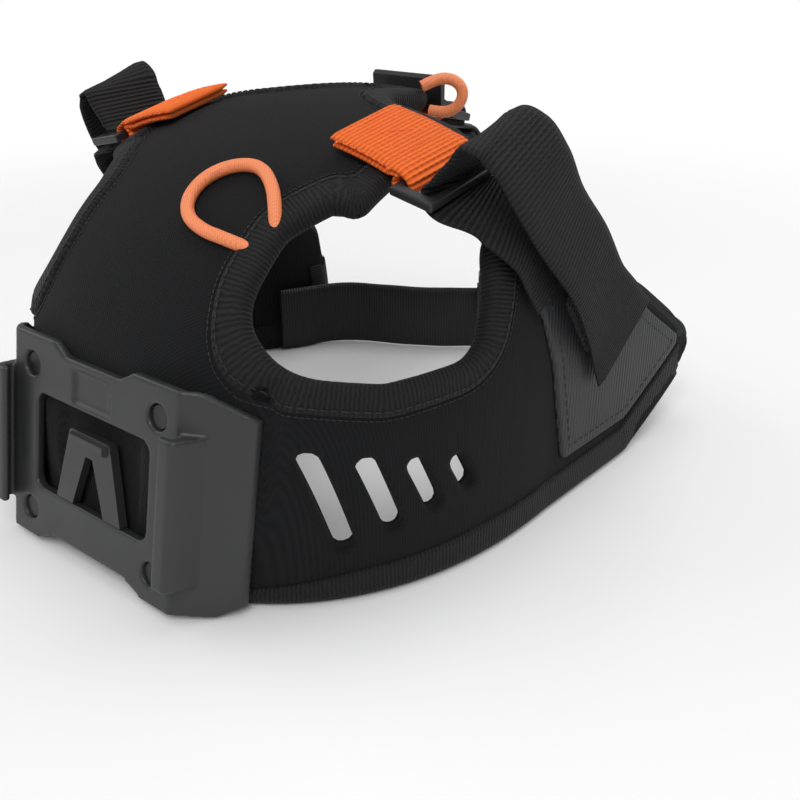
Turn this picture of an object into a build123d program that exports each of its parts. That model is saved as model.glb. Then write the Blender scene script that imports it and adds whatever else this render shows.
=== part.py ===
"""Head harness for a clip-on head torch.

A moulded neoprene shell carries a torch plate on the forehead, a crown panel with three arms and
two wings.  Webbing straps and plastic loops join the arms to the wings and to the nape strap.
Millimetres.  The forehead faces -Y, the nape +Y, the wearer's left is +X, and the hem stands on z = 0.
"""

from build123d import *
import os
from functools import cache
from math import cos, radians, sin, tan

os.makedirs("parts", exist_ok=True)

# ---- Head form ----------------------------------------------------------------------------------
HEAD_HALF_WIDTH = 79.5
HEAD_FRONT = 95.0
HEAD_REAR = 110.0
CROWN_HEIGHT = 111.5
SHOULDER = 1.65  # exponent of the upright section
FRONT_BROW = 3.2  # how square the brow, temple and nape are in the upright section
TEMPLE_BROW = 8.0
NAPE_BROW = 5.0
FRONT_SQUARE = 2.3  # how square the plan is in front and behind
REAR_SQUARE = 8.0
WING_SPLAY = 0.05  # outward lean of the wings per millimetre behind the ears
TUCK = 20.0  # how far the right wing's end is drawn in by the nape strap
TUCK_START = 20.0
TUCK_LENGTH = 45.0
SECTION_STEPS = 10
PLAN_STEPS = 40

# ---- Shell --------------------------------------------------------------------------------------
FOAM = 4.4
LINING = 0.8
SKIN = FOAM + LINING
BINDING = 1.0
BINDING_WIDTH = 8.5
EDGE_COVER = 1.5
CROWN_CUT = 45.0  # height above which the crown outline shapes the shell
STEM_HALF = 36.5
ARM_FRONT = -44.0
ARM_REAR = 3.0
ARM_END = 49.0
REAR_ARM_HALF = 14.5
REAR_ARM_END = 35.0
OPENING_FLOOR = 58.0
WING_TOP = 89.0
LEFT_WING_TIP = (103.0, 24.7)
RIGHT_WING_END = 66.0
HEM_LIFT = 46.0  # y behind which the hem leaves the floor
VENTS = 4
VENT_WIDTH = 4.6
VENT_PITCH = 11.1
VENT_FIRST = (-70.0, 29.2)
VENT_LENGTH = 28.0
VENT_SHORTEN = 5.5
VENT_LEAN = 13.0  # forward, in degrees
VENT_LEAN_STEP = 4.5
BINDING_SPLIT = -14.0  # y where the opening bindings meet the rear arm's
HEM_BAND = 30.0
HEM_FRONT = 5.0
HEM_SIDE = 13.5
HEM_END = 78.0

# ---- Torch plate --------------------------------------------------------------------------------
PLATE = 2.8
PLATE_LEAN = 11.2
PLATE_FOOT = (0.0, -99.3, 10.3)
PLATE_FLAT_HALF = 33.0
PLATE_HALF = 46.0
FLANK_DEPTH = 12.0
PLATE_TOP = 49.5
PLATE_BOTTOM = -8.0
SCREW_HALF = 25.5
SCREW_RISE = 41.1
HEAD_RADIUS = 2.9
HEAD_THICKNESS = 1.2
SHANK_RADIUS = 1.5
NUT_RADIUS = 3.2
RAIL_LIP = 31.0
RAIL_OUTER = 36.5
RAIL_REACH = 3.0  # how far a lip overhangs its channel
RAIL_HEIGHT = 4.5
RAIL_ROOT = 6.0  # how deep the outer wall runs into the flank
LIP = 2.0
RAIL_LENGTH = 38.5
RAIL_FOOT = 0.5
WINDOW_HALF = 23.0
WINDOW = (7.5, 34.0)
TONGUE = 2.4
TONGUE_TOP = 28.5
TONGUE_FOOT = 13.4
TONGUE_HEAD = 8.2
TONGUE_LEG = 6.9
TONGUE_HOOK = 1.2
TONGUE_ROOM = 1.4  # depth of the hollow behind the plate that the tongue flexes into
TONGUE_CLEARANCE = 0.3
BACKING_HALF = 33.0
BACKING = 1.0
NUT = 1.0
PAD_HALF = 38.0
PAD = 5.0

# ---- Webbing and loops --------------------------------------------------------------------------
WEBBING = 25.0
WEB = 1.6
TAB_START = 31.0
TAB_MIDDLE = -21.5
BAR = 2.4
LOOP_SIDE = 3.2
LOOP_REACH = 10.4  # between the middles of a loop's two bars
LOOP_TILT = 8.0
SWING = 4.0
PLAY = 0.3
STRAP = 1.7
PATCH = 1.5
HOOK = 1.5
REAR_WEB = 20.0
REAR_DROP = 18.0
LIP_TOP = 113.0
CORD = 3.4
NAPE_STRAP = 25.0
STRAP_GAP = 0.7  # between the nape strap and the wings that it lies in
CLIP_WALL = 1.5
CLIP_LEG = 10.0
CLIP_WIDTH = 8.0
EYE = 3.6

BAR_CORNER = BAR / 2 * 1.25  # radius that the bar's rounded corners sweep
TAB_HOLE = BAR_CORNER + PLAY
TAB_FOLD = TAB_HOLE + WEB
STRAP_HOLE = BAR_CORNER + LOOP_REACH * sin(radians(SWING)) + PLAY
STRAP_FOLD = STRAP_HOLE + STRAP


def upright(height, crown, brow):
    """Share of the full plan size that is left at a height."""
    return (1 - (min(max(height, 0), crown) / crown) ** brow) ** (1 / SHOULDER)


def half_axes(height, inset, rear):
    """Half width, half length and squareness of the plan section at a height."""
    crown = CROWN_HEIGHT - inset
    across = (HEAD_HALF_WIDTH - inset) * upright(height, crown, TEMPLE_BROW)
    if not rear:
        return across, (HEAD_FRONT - inset) * upright(height, crown, FRONT_BROW), FRONT_SQUARE
    along = (HEAD_REAR - inset) * upright(height, crown, NAPE_BROW)
    square = FRONT_SQUARE + (REAR_SQUARE - FRONT_SQUARE) * (1 - (height / crown) ** 4)
    return across, along, square


def draped(x, y, height):
    """A point of the head form with the wings splayed and the right one drawn in."""
    if y <= 0:
        return x, y
    side = x / HEAD_HALF_WIDTH
    x = x + side * WING_SPLAY * y
    share = min(max((y - TUCK_START) / TUCK_LENGTH, 0), 1)
    if side < 0:
        x -= side * TUCK * share * share * (3 - 2 * share) * max(1 - (height / WING_TOP) ** 2, 0)
    return x, y


def side_x(y, height, side=1):
    """Where the left or the right side stands at a place along it."""
    across, along, square = half_axes(height, 0.0, y > 0)
    x = across * max(1 - (abs(y) / along) ** square, 0) ** (1 / square)
    return draped(side * x, y, height)[0]


def crown_z(x, y, inset=0.0):
    """Height of the head form above a place in plan."""
    low, high = 0.0, CROWN_HEIGHT - inset - 0.01
    while high - low > 0.001:
        middle = (low + high) / 2
        across, along, square = half_axes(middle, inset, y > 0)
        inside = (abs(x) / across) ** square + (abs(y) / along) ** square < 1
        low, high = (middle, high) if inside else (low, middle)
    return low


@cache
def head_form(inset):
    """The solid inside the head form, drawn in by an inset."""
    with BuildPart() as form:
        for step in range(SECTION_STEPS):
            height = (CROWN_HEIGHT - inset) * sin(radians(82 * step / (SECTION_STEPS - 1)))
            outline = []
            for turn in range(PLAN_STEPS):
                angle = radians(360 * turn / PLAN_STEPS)
                across, along, square = half_axes(height, inset, sin(angle) > 0)
                reach = (abs(cos(angle) / across) ** square + abs(sin(angle) / along) ** square) ** (-1 / square)
                outline.append(draped(reach * cos(angle), reach * sin(angle), height))
            with BuildSketch(Plane.XY.offset(height)):
                with BuildLine():
                    Spline(*outline, periodic=True)
                make_face()
        loft()
    return form.part


def layer(outer, inner):
    """A skin between two insets of the head form."""
    with BuildPart() as skin:
        add(head_form(outer))
        add(head_form(inner), mode=Mode.SUBTRACT)
    return skin.part


def wing_profile(tip):
    """Side outline of the brow band and one wing, on the y and z axes."""
    with BuildSketch() as outline:
        with BuildLine():
            Polyline(
                (-120, 0), (HEM_LIFT, 0), *tip, (4, WING_TOP), (-22, WING_TOP), (-32, OPENING_FLOOR + 2),
                (-56, OPENING_FLOOR), (-78, OPENING_FLOOR + 4.5), (-120, OPENING_FLOOR + 4.5), close=True,
            )
        make_face()
        corners = [v for v in outline.vertices() if v.Y > 1 and -60 < v.X]
        fillet([v for v in corners if v.Y < OPENING_FLOOR + 3], 9.5)
        fillet([v for v in corners if v.Y > OPENING_FLOOR + 3], 9.9)
    return outline.sketch


SLOPE_END = WING_TOP - (RIGHT_WING_END - 4) * (WING_TOP - LEFT_WING_TIP[1]) / (LEFT_WING_TIP[0] - 4)
LEFT_WING = wing_profile([LEFT_WING_TIP])
RIGHT_WING = wing_profile([(RIGHT_WING_END, 2.0), (RIGHT_WING_END, SLOPE_END)])


def crown_profile():
    """Plan outline of the stem and the three arms."""
    with BuildSketch() as outline:
        with BuildLine():
            Polyline(
                (0, -125), (STEM_HALF + 11.5, -125), (STEM_HALF + 11.5, -80), (STEM_HALF, -72),
                (STEM_HALF, -57), (STEM_HALF + 6, ARM_FRONT - 1.5), (ARM_END, ARM_FRONT), (ARM_END, ARM_REAR),
                (REAR_ARM_HALF, ARM_REAR), (REAR_ARM_HALF, REAR_ARM_END), (0, REAR_ARM_END), close=True,
            )
        make_face()
        fillet([v for v in outline.vertices() if v.X > ARM_END - 1 and v.Y > ARM_FRONT - 1], 5.0)
        fillet([v for v in outline.vertices() if v.X > 1 and v.Y > REAR_ARM_END - 1], 9.0)
        notch = [v for v in outline.vertices() if abs(v.Y - ARM_REAR) < 0.1 and v.X < REAR_ARM_HALF + 1]
        fillet(notch, 12.0)
        mirror(about=Plane.YZ)
    return outline.sketch


CROWN = crown_profile()


def cloth(margin):
    """The space that the shell's outline encloses, drawn in by a margin."""
    with BuildPart() as space:
        for profile, way in ((LEFT_WING, 1), (RIGHT_WING, -1)):
            with BuildSketch(Plane.YZ):
                add(profile)
                if margin:
                    offset(amount=-margin, mode=Mode.REPLACE)
            extrude(amount=120 * way)
        with BuildSketch(Plane.XY.offset(CROWN_CUT)):
            add(CROWN)
            if margin:
                offset(amount=-margin, mode=Mode.REPLACE)
        extrude(amount=100)
    return space.part


OUTSIDE = cloth(0)
INSIDE = cloth(EDGE_COVER)
with BuildPart() as binding_band:
    add(OUTSIDE)
    add(cloth(BINDING_WIDTH), mode=Mode.SUBTRACT)
with BuildPart() as core:
    add(layer(0.0, SKIN))
    add(INSIDE, mode=Mode.INTERSECT)
with BuildPart() as binding_tape:
    add(layer(-BINDING, SKIN + BINDING))
    add(binding_band.part, mode=Mode.INTERSECT)
    add(core.part, mode=Mode.SUBTRACT)

PLATE_PLANE = Plane(PLATE_FOOT, x_dir=(1, 0, 0), z_dir=(0, -cos(radians(PLATE_LEAN)), sin(radians(PLATE_LEAN))))
SCREWS = [(x, y) for x in (-SCREW_HALF, SCREW_HALF) for y in (0, SCREW_RISE)]


def plate_section(depth, thickness):
    """Plan section of the plate, from a depth behind its face, extruded up the plate."""
    back = depth + thickness
    foot = PLATE_PLANE.origin + PLATE_PLANE.y_dir * (PLATE_BOTTOM - 1)
    with BuildPart() as body:
        with BuildSketch(Plane(foot, x_dir=(1, 0, 0), z_dir=PLATE_PLANE.y_dir)):
            with BuildLine():
                Polyline(
                    (-PLATE_HALF, FLANK_DEPTH + depth), (-PLATE_FLAT_HALF, depth), (PLATE_FLAT_HALF, depth),
                    (PLATE_HALF, FLANK_DEPTH + depth), (PLATE_HALF, FLANK_DEPTH + back),
                    (PLATE_FLAT_HALF, back), (-PLATE_FLAT_HALF, back), (-PLATE_HALF, FLANK_DEPTH + back),
                    close=True,
                )
            make_face()
        extrude(amount=PLATE_TOP - PLATE_BOTTOM + 2)
    return body.part


def screw_bores(radius, start, length):
    """Cylinders on the four screw axes, from a depth behind the plate's face."""
    with BuildPart() as bores:
        with BuildSketch(PLATE_PLANE.offset(-start)):
            with Locations(*SCREWS):
                Circle(radius)
        extrude(amount=-length)
    return bores.part


def vents():
    """The slanted slots in both sides of the brow band."""
    with BuildPart() as slots:
        for step in range(VENTS):
            middle = (VENT_FIRST[0] + VENT_PITCH * step, VENT_FIRST[1])
            with BuildSketch(Plane.YZ):
                with Locations(middle):
                    length = VENT_LENGTH - VENT_SHORTEN * step
                    SlotOverall(length, VENT_WIDTH, rotation=90 + VENT_LEAN + VENT_LEAN_STEP * step)
            extrude(amount=HEAD_HALF_WIDTH + 20, both=True)
    return slots.part


def finish(piece, name):
    """Label a piece and write it."""
    piece.part.label = name
    export_step(piece.part, f"parts/{name}.step")


# ---- Shell, lining and edge binding -------------------------------------------------------------
BORES = screw_bores(SHANK_RADIUS + 0.15, 0, 30)
PLATE_SPACE = plate_section(PLATE - 20, 20)
VENT_SLOTS = vents()

with BuildPart() as crown_shell:
    add(layer(0.0, FOAM))
    add(INSIDE, mode=Mode.INTERSECT)
    add(PLATE_SPACE, mode=Mode.SUBTRACT)
    with BuildSketch(PLATE_PLANE.offset(-PLATE)):
        with Locations((0, (WINDOW[0] + TONGUE_TOP) / 2)):
            Rectangle(2 * TONGUE_FOOT + 2, TONGUE_TOP - WINDOW[0] + 2)
    extrude(amount=-TONGUE_ROOM, mode=Mode.SUBTRACT)
    add(VENT_SLOTS, mode=Mode.SUBTRACT)
    add(BORES, mode=Mode.SUBTRACT)
finish(crown_shell, "crown_shell")

with BuildPart() as lining:
    add(layer(FOAM, SKIN))
    add(INSIDE, mode=Mode.INTERSECT)
    add(VENT_SLOTS, mode=Mode.SUBTRACT)
    add(BORES, mode=Mode.SUBTRACT)
finish(lining, "lining")

for side, name in ((1, "opening_binding_left"), (-1, "opening_binding_right")):
    with BuildPart() as opening_binding:
        add(binding_tape.part)
        with BuildSketch(Plane.XY.offset(HEM_BAND)):
            with Locations((side * 100, BINDING_SPLIT - 100)):
                Rectangle(200, 200)
        extrude(amount=150, mode=Mode.INTERSECT)
        add(PLATE_SPACE, mode=Mode.SUBTRACT)
    finish(opening_binding, name)

with BuildPart() as rear_arm_binding:
    add(binding_tape.part)
    with BuildSketch(Plane.XY.offset(CROWN_CUT)):
        with Locations((0, BINDING_SPLIT + 50)):
            Rectangle(2 * ARM_END + 2, 100)
    extrude(amount=100, mode=Mode.INTERSECT)
finish(rear_arm_binding, "rear_arm_binding")

with BuildPart() as hem_binding:
    add(layer(-BINDING, SKIN + BINDING))
    add(OUTSIDE, mode=Mode.INTERSECT)
    with BuildSketch(Plane.YZ):
        with BuildLine():
            Polyline(
                (-120, -5), (HEM_END, -5), (HEM_END, 30), (HEM_LIFT - 6, HEM_SIDE), (-30, HEM_SIDE),
                (-66, HEM_SIDE - 3.5), (-88, HEM_FRONT), (-120, HEM_FRONT), close=True,
            )
        make_face()
    extrude(amount=120, both=True, mode=Mode.INTERSECT)
    add(core.part, mode=Mode.SUBTRACT)
    add(PLATE_SPACE, mode=Mode.SUBTRACT)
finish(hem_binding, "hem_binding")

# ---- Torch plate --------------------------------------------------------------------------------
with BuildPart() as mounting_plate:
    add(plate_section(0, PLATE))
    with BuildSketch(PLATE_PLANE.offset(10)):
        with BuildLine():
            Polyline(
                (0, PLATE_TOP - 3), (11, PLATE_TOP - 3), (16, PLATE_TOP), (36, PLATE_TOP),
                (PLATE_HALF + 1, PLATE_TOP - 6), (PLATE_HALF + 1, PLATE_BOTTOM + 4), (PLATE_HALF - 5, PLATE_BOTTOM),
                (22, PLATE_BOTTOM), (15, PLATE_BOTTOM + 3), (0, PLATE_BOTTOM + 3), close=True,
            )
        make_face()
        fillet([v for v in vertices() if v.X > 1], 2.0)
        mirror(about=Plane.YZ)
    extrude(amount=-60, mode=Mode.INTERSECT)
    with BuildSketch(PLATE_PLANE):
        with Locations((0, sum(WINDOW) / 2)):
            RectangleRounded(2 * WINDOW_HALF, WINDOW[1] - WINDOW[0], 3)
    extrude(amount=-PLATE, mode=Mode.SUBTRACT)
    with BuildSketch(PLATE_PLANE):
        with Locations((0, WINDOW[1] + 6)):
            Rectangle(14.5, 9)
    extrude(amount=-0.8, mode=Mode.SUBTRACT)
    for side in (-1, 1):
        foot = PLATE_PLANE.origin + PLATE_PLANE.y_dir * RAIL_FOOT
        with BuildSketch(Plane(foot, x_dir=(1, 0, 0), z_dir=PLATE_PLANE.y_dir)):
            with BuildLine():
                Polyline(
                    (side * RAIL_LIP, -RAIL_HEIGHT), (side * RAIL_OUTER, -RAIL_HEIGHT),
                    (side * (RAIL_OUTER + 2), RAIL_ROOT), (side * (RAIL_LIP + RAIL_REACH), PLATE),
                    (side * (RAIL_LIP + RAIL_REACH), LIP - RAIL_HEIGHT), (side * RAIL_LIP, LIP - RAIL_HEIGHT),
                    close=True,
                )
            make_face()
            fillet([v for v in vertices() if v.Y < 0 and abs(v.X) > RAIL_OUTER - 1], 2.0)
            fillet([v for v in vertices() if abs(v.X) < RAIL_LIP + 1], 0.8)
        extrude(amount=RAIL_LENGTH)
    with BuildPart(mode=Mode.PRIVATE) as bosses:
        add(screw_bores(HEAD_RADIUS + 0.7, PLATE, 6))
        add(head_form(0.0), mode=Mode.SUBTRACT)
    add(bosses.part)
    add(screw_bores(HEAD_RADIUS + 0.4, 0, HEAD_THICKNESS + 1), mode=Mode.SUBTRACT)
    add(BORES, mode=Mode.SUBTRACT)
finish(mounting_plate, "mounting_plate")

with BuildPart() as latch_tongue:
    foot = WINDOW[0] + TONGUE_CLEARANCE
    with BuildSketch(PLATE_PLANE):
        with BuildLine():
            Polyline(
                (TONGUE_FOOT, foot), (TONGUE_HEAD, TONGUE_TOP), (-TONGUE_HEAD, TONGUE_TOP), (-TONGUE_FOOT, foot),
                (TONGUE_LEG - TONGUE_FOOT, foot), (-1.4, TONGUE_TOP - 6), (1.4, TONGUE_TOP - 6),
                (TONGUE_FOOT - TONGUE_LEG, foot), close=True,
            )
        make_face()
        fillet([v for v in vertices() if v.Y > TONGUE_TOP - 1], 1.5)
    extrude(amount=-TONGUE)
    with BuildSketch(PLATE_PLANE):
        with Locations((0, TONGUE_TOP - 2)):
            Rectangle(2 * TONGUE_HEAD - 2, 3)
    extrude(amount=TONGUE_HOOK, taper=20)
finish(latch_tongue, "latch_tongue")

with BuildPart() as plate_rivets:
    add(screw_bores(SHANK_RADIUS, 1, 30))
    add(head_form(SKIN + BACKING + NUT), mode=Mode.SUBTRACT)
    add(screw_bores(HEAD_RADIUS, 1, HEAD_THICKNESS))
    with BuildPart(mode=Mode.PRIVATE) as nuts:
        add(layer(SKIN + BACKING, SKIN + BACKING + NUT))
        add(screw_bores(NUT_RADIUS, 0, 30), mode=Mode.INTERSECT)
    add(nuts.part)
finish(plate_rivets, "plate_rivets")

for name, outer, inner, half, low, high in (
    ("backing_plate", SKIN, SKIN + BACKING, BACKING_HALF, PLATE_FOOT[2] - 3.2, PLATE_FOOT[2] + 43),
    ("forehead_pad", SKIN + BACKING + NUT + 0.2, SKIN + BACKING + NUT + PAD, PAD_HALF, HEM_FRONT + 0.5, 52.0),
):
    with BuildPart() as inner_piece:
        add(layer(outer, inner))
        with BuildSketch(Plane.XZ):
            with Locations((0, (low + high) / 2)):
                RectangleRounded(2 * half, high - low, 6)
        extrude(amount=120, mode=Mode.INTERSECT)
        if half == BACKING_HALF:
            add(BORES, mode=Mode.SUBTRACT)
    finish(inner_piece, name)


# ---- Side arms: tab, loop, strap, patch ---------------------------------------------------------
def crown_plane(x, y):
    """Plane that lies on the crown at a place in plan, its x axis outward and its z axis up."""
    slope_x = (crown_z(x + 1, y) - crown_z(x - 1, y)) / 2
    slope_y = (crown_z(x, y + 1) - crown_z(x, y - 1)) / 2
    return Plane((x, y, crown_z(x, y)), x_dir=(1, 0, slope_x), z_dir=(-slope_x, -slope_y, 1))


def both_sides(piece, name):
    """Write a left piece and its mirror image."""
    with BuildPart() as twin:
        mirror(piece.part, about=Plane.YZ)
    finish(piece, f"{name}_left")
    finish(twin, f"{name}_right")


ARM_PLANE = crown_plane(ARM_END, TAB_MIDDLE)
TAB_BAR = ARM_PLANE.from_local_coords(Vector(TAB_FOLD + 1.3, 0, BINDING + 2 * WEB - TAB_FOLD))
LOOP_PLANE = Plane(TAB_BAR, x_dir=ARM_PLANE.x_dir, z_dir=ARM_PLANE.z_dir).rotated((0, -LOOP_TILT, 0))


def tube(plane, outer, inner, length):
    """A tube about a plane's y axis."""
    with BuildPart() as ring:
        with BuildSketch(Plane(plane.origin, x_dir=plane.x_dir, z_dir=plane.y_dir)):
            Circle(outer)
            if inner:
                Circle(inner, mode=Mode.SUBTRACT)
        extrude(amount=length / 2, both=True)
    return ring.part


with BuildPart() as tab:
    add(layer(-BINDING - 2 * WEB, -BINDING))
    with BuildSketch(Plane.XY.offset(CROWN_CUT)):
        with Locations(((TAB_START + ARM_END) / 2, TAB_MIDDLE)):
            Rectangle(ARM_END - TAB_START, WEBBING)
    extrude(amount=100, mode=Mode.INTERSECT)
    with BuildSketch(ARM_PLANE.offset(BINDING + WEB)):
        with Locations((TAB_FOLD / 2, 0)):
            Rectangle(TAB_FOLD + 2.6, WEBBING)
    extrude(amount=WEB)
    add(tube(LOOP_PLANE, TAB_FOLD, 0, WEBBING))
    add(tube(LOOP_PLANE, TAB_HOLE, 0, WEBBING), mode=Mode.SUBTRACT)
both_sides(tab, "crown_tab")


def loop(plane, width):
    """A rectangular loop with its first bar on the plane's y axis."""
    with BuildPart() as frame:
        with BuildSketch(plane.offset(-BAR / 2)):
            with Locations((LOOP_REACH / 2, 0)):
                Rectangle(LOOP_REACH + BAR, width + 2 * (PLAY + LOOP_SIDE))
                Rectangle(LOOP_REACH - BAR, width + 2 * PLAY, mode=Mode.SUBTRACT)
        extrude(amount=BAR)
        fillet(frame.edges(), 0.6)
    return frame.part


with BuildPart() as strap_loop:
    add(loop(LOOP_PLANE, WEBBING))
both_sides(strap_loop, "strap_loop")


def ribbon(stations, thickness):
    """A band through stations of a middle point, the way across and the width."""
    points = [Vector(*point) for point, across, width in stations]
    with BuildPart() as band:
        for index, (point, across, width) in enumerate(stations):
            along = points[min(index + 1, len(points) - 1)] - points[max(index - 1, 0)]
            across = Vector(*across).normalized()
            along = along - across * along.dot(across)
            with BuildSketch(Plane(points[index], x_dir=across, z_dir=along)):
                Rectangle(width, thickness)
        loft(ruled=True)
    return band.part


STRAP_BAR = Vector(LOOP_PLANE.from_local_coords(Vector(LOOP_REACH, 0, 0)))
FOLD_RADIUS = STRAP_HOLE + STRAP / 2
WALL = PATCH + HOOK + STRAP / 2 + 0.2  # from the shell to the middle of a strap pressed on the hook pad
UNDER_WALL = PATCH + STRAP / 2 + 0.2


def strap_stations(side):
    """The side strap from its sewn end on the wing, through the loop and down to the hook pad."""

    def by_wall(y, height, out, lean, width=WEBBING):
        rise = tan(radians(lean))
        step = side_x(y + 5, height + 5 * rise, side) - side_x(y - 5, height - 5 * rise, side)
        return (side_x(y, height, side) + side * out, y, height), (step / 10, 1, rise), width

    def by_bar(out, back, up, lean):
        middle = STRAP_BAR + Vector(out, back, up)
        return (side * middle.X, middle.Y, middle.Z), (0, cos(radians(lean)), sin(radians(lean))), WEBBING

    bar_lean = (side * LOOP_PLANE.y_dir.X, LOOP_PLANE.y_dir.Y, LOOP_PLANE.y_dir.Z)
    fold = []
    for angle in range(236, 135, -20):
        out = FOLD_RADIUS * cos(radians(angle))
        up = FOLD_RADIUS * sin(radians(angle))
        fold.append((by_bar(out, 0, up, 0)[0], bar_lean, WEBBING))
    under = [by_wall(-4, 73, UNDER_WALL, 32), by_wall(-8, 79, UNDER_WALL + 0.3, 32)]
    under += [by_wall(-13, 86, UNDER_WALL + 2.4, 25), by_bar(7.5, 2.5, -5.5, 18)]
    crest = [by_bar(2.2, 0, 8.5, 15), by_bar(5.5, 0.2, 12.0, 17), by_bar(9.5, 0.8, 12.6, 21)]
    crest += [by_bar(14.5, 2.5, 9.6, 26), by_bar(19.0, 7.0, 0.5, 34)]
    outer = [by_wall(-8, 89, 12.5, 39), by_wall(2, 77, 8.5, 40), by_wall(14, 62, 6.3, 37, WEBBING + 1)]
    outer += [by_wall(24, 52, WALL + 0.7, 17, WEBBING + 5), by_wall(30, 45.5, WALL + 0.2, 3, WEBBING + 9)]
    return under + fold + crest + outer


for side, name in ((1, "side_strap_left"), (-1, "side_strap_right")):
    with BuildPart() as side_strap:
        add(ribbon(strap_stations(side), STRAP))
    finish(side_strap, name)

PATCH_OUTLINE = [
    (-15, 78), (-2, 47), (6, HEM_SIDE + 1.5), (HEM_LIFT - 5, HEM_SIDE + 1.5), (HEM_END - 2, HEM_SIDE + 18),
    (52, 47), (2, 83),
]
HOOK_OUTLINE = [(13, 46), (46, 46.5), (22, 72), (-1, 66)]
KEPT_IN = cloth(3.0)
for node, outer, inner, outline in (
    ("wing_patch", -PATCH, 0.0, PATCH_OUTLINE), ("hook_pad", -PATCH - HOOK, -PATCH, HOOK_OUTLINE),
):
    for way, side in ((1, "left"), (-1, "right")):
        with BuildPart() as pad:
            add(layer(outer, inner))
            with BuildSketch(Plane.YZ):
                with BuildLine():
                    Polyline(*outline, close=True)
                make_face()
                fillet(vertices(), 3)
            extrude(amount=way * 120, mode=Mode.INTERSECT)
            add(KEPT_IN, mode=Mode.INTERSECT)
        finish(pad, f"{node}_{side}")

# ---- Rear arm: tab, buckle, strap down to the nape ----------------------------------------------
UNDER_ARM = crown_z(0, REAR_ARM_END, SKIN + BINDING) - WEB
REAR_BAR = Vector(0, REAR_ARM_END + 7.0, UNDER_ARM + 2.2)
REAR_PLANE = Plane(REAR_BAR, x_dir=(0, cos(radians(REAR_DROP)), -sin(radians(REAR_DROP))), z_dir=(
    0, sin(radians(REAR_DROP)), cos(radians(REAR_DROP))))

with BuildPart() as rear_tab:
    with BuildSketch(Plane.YZ):
        with BuildLine() as run:
            Polyline((REAR_ARM_END - 19, UNDER_ARM), (REAR_ARM_END, UNDER_ARM), (
                REAR_BAR.Y, REAR_BAR.Z - TAB_HOLE - WEB / 2))
        trace(line_width=2 * WEB - 0.2)
    extrude(amount=REAR_WEB / 2, both=True)
    add(head_form(SKIN + BINDING), mode=Mode.INTERSECT)
    add(tube(REAR_PLANE, TAB_FOLD, 0, REAR_WEB))
    add(tube(REAR_PLANE, TAB_HOLE, 0, REAR_WEB), mode=Mode.SUBTRACT)
finish(rear_tab, "rear_tab")

with BuildPart() as rear_buckle:
    add(loop(REAR_PLANE, REAR_WEB))
    lip_foot = (REAR_BAR.Y - 5.4, REAR_BAR.Z + 0.4)
    with BuildSketch(Plane.YZ):
        with BuildLine():
            Polyline(
                lip_foot, (lip_foot[0] - 0.6, LIP_TOP - 1), (lip_foot[0] + 0.4, LIP_TOP), (lip_foot[0] + 1.6, LIP_TOP),
                (lip_foot[0] + 1.6, lip_foot[1]), close=True,
            )
        make_face()
    extrude(amount=REAR_WEB / 2 + PLAY + LOOP_SIDE, both=True)
    for side in (-1, 1):
        with BuildSketch(Plane.YZ.offset(side * (REAR_WEB / 2 + PLAY))):
            with BuildLine():
                Polyline(
                    (lip_foot[0] + 1, lip_foot[1]), (lip_foot[0] + 1, lip_foot[1] + 4), (REAR_BAR.Y + 1, REAR_BAR.Z + 1),
                    (REAR_BAR.Y, REAR_BAR.Z - 1), close=True,
                )
            make_face()
        extrude(amount=side * LOOP_SIDE)
finish(rear_buckle, "rear_buckle")

REAR_STRAP_BAR = REAR_PLANE.from_local_coords(Vector(LOOP_REACH, 0, 0))
REAR_STRAP_PLANE = Plane(REAR_STRAP_BAR, x_dir=(0, 1, 0), z_dir=(0, 0, -1))

# ---- Nape strap ---------------------------------------------------------------------------------
NAPE_MIDDLE = NAPE_STRAP / 2 + 0.5


def inside_wing(y, way):
    """Middle of the nape strap where it lies on a wing's lining."""
    across, along, square = half_axes(0, SKIN + BINDING + STRAP / 2 + STRAP_GAP, True)
    x, y = draped(way * across * (1 - (y / along) ** square) ** (1 / square), y, 0)
    return x, y, NAPE_MIDDLE


NAPE_ROUTE = [
    inside_wing(40, -1), inside_wing(48, -1), inside_wing(56, -1), (-50, 65, NAPE_MIDDLE), (-37, 71.5, NAPE_MIDDLE),
    (-21, 80, NAPE_MIDDLE), (-9, 89, NAPE_MIDDLE), (3, 97, NAPE_MIDDLE), (20, 103, NAPE_MIDDLE),
    (38, 105.2, NAPE_MIDDLE), (52, 102.5, NAPE_MIDDLE), (64, 96.5, NAPE_MIDDLE), inside_wing(86, 1),
    inside_wing(76, 1), inside_wing(66, 1), inside_wing(56, 1),
]
with BuildPart() as nape_strap:
    add(ribbon([(point, (0, 0, 1), NAPE_STRAP) for point in NAPE_ROUTE], STRAP))
finish(nape_strap, "nape_strap")

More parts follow.
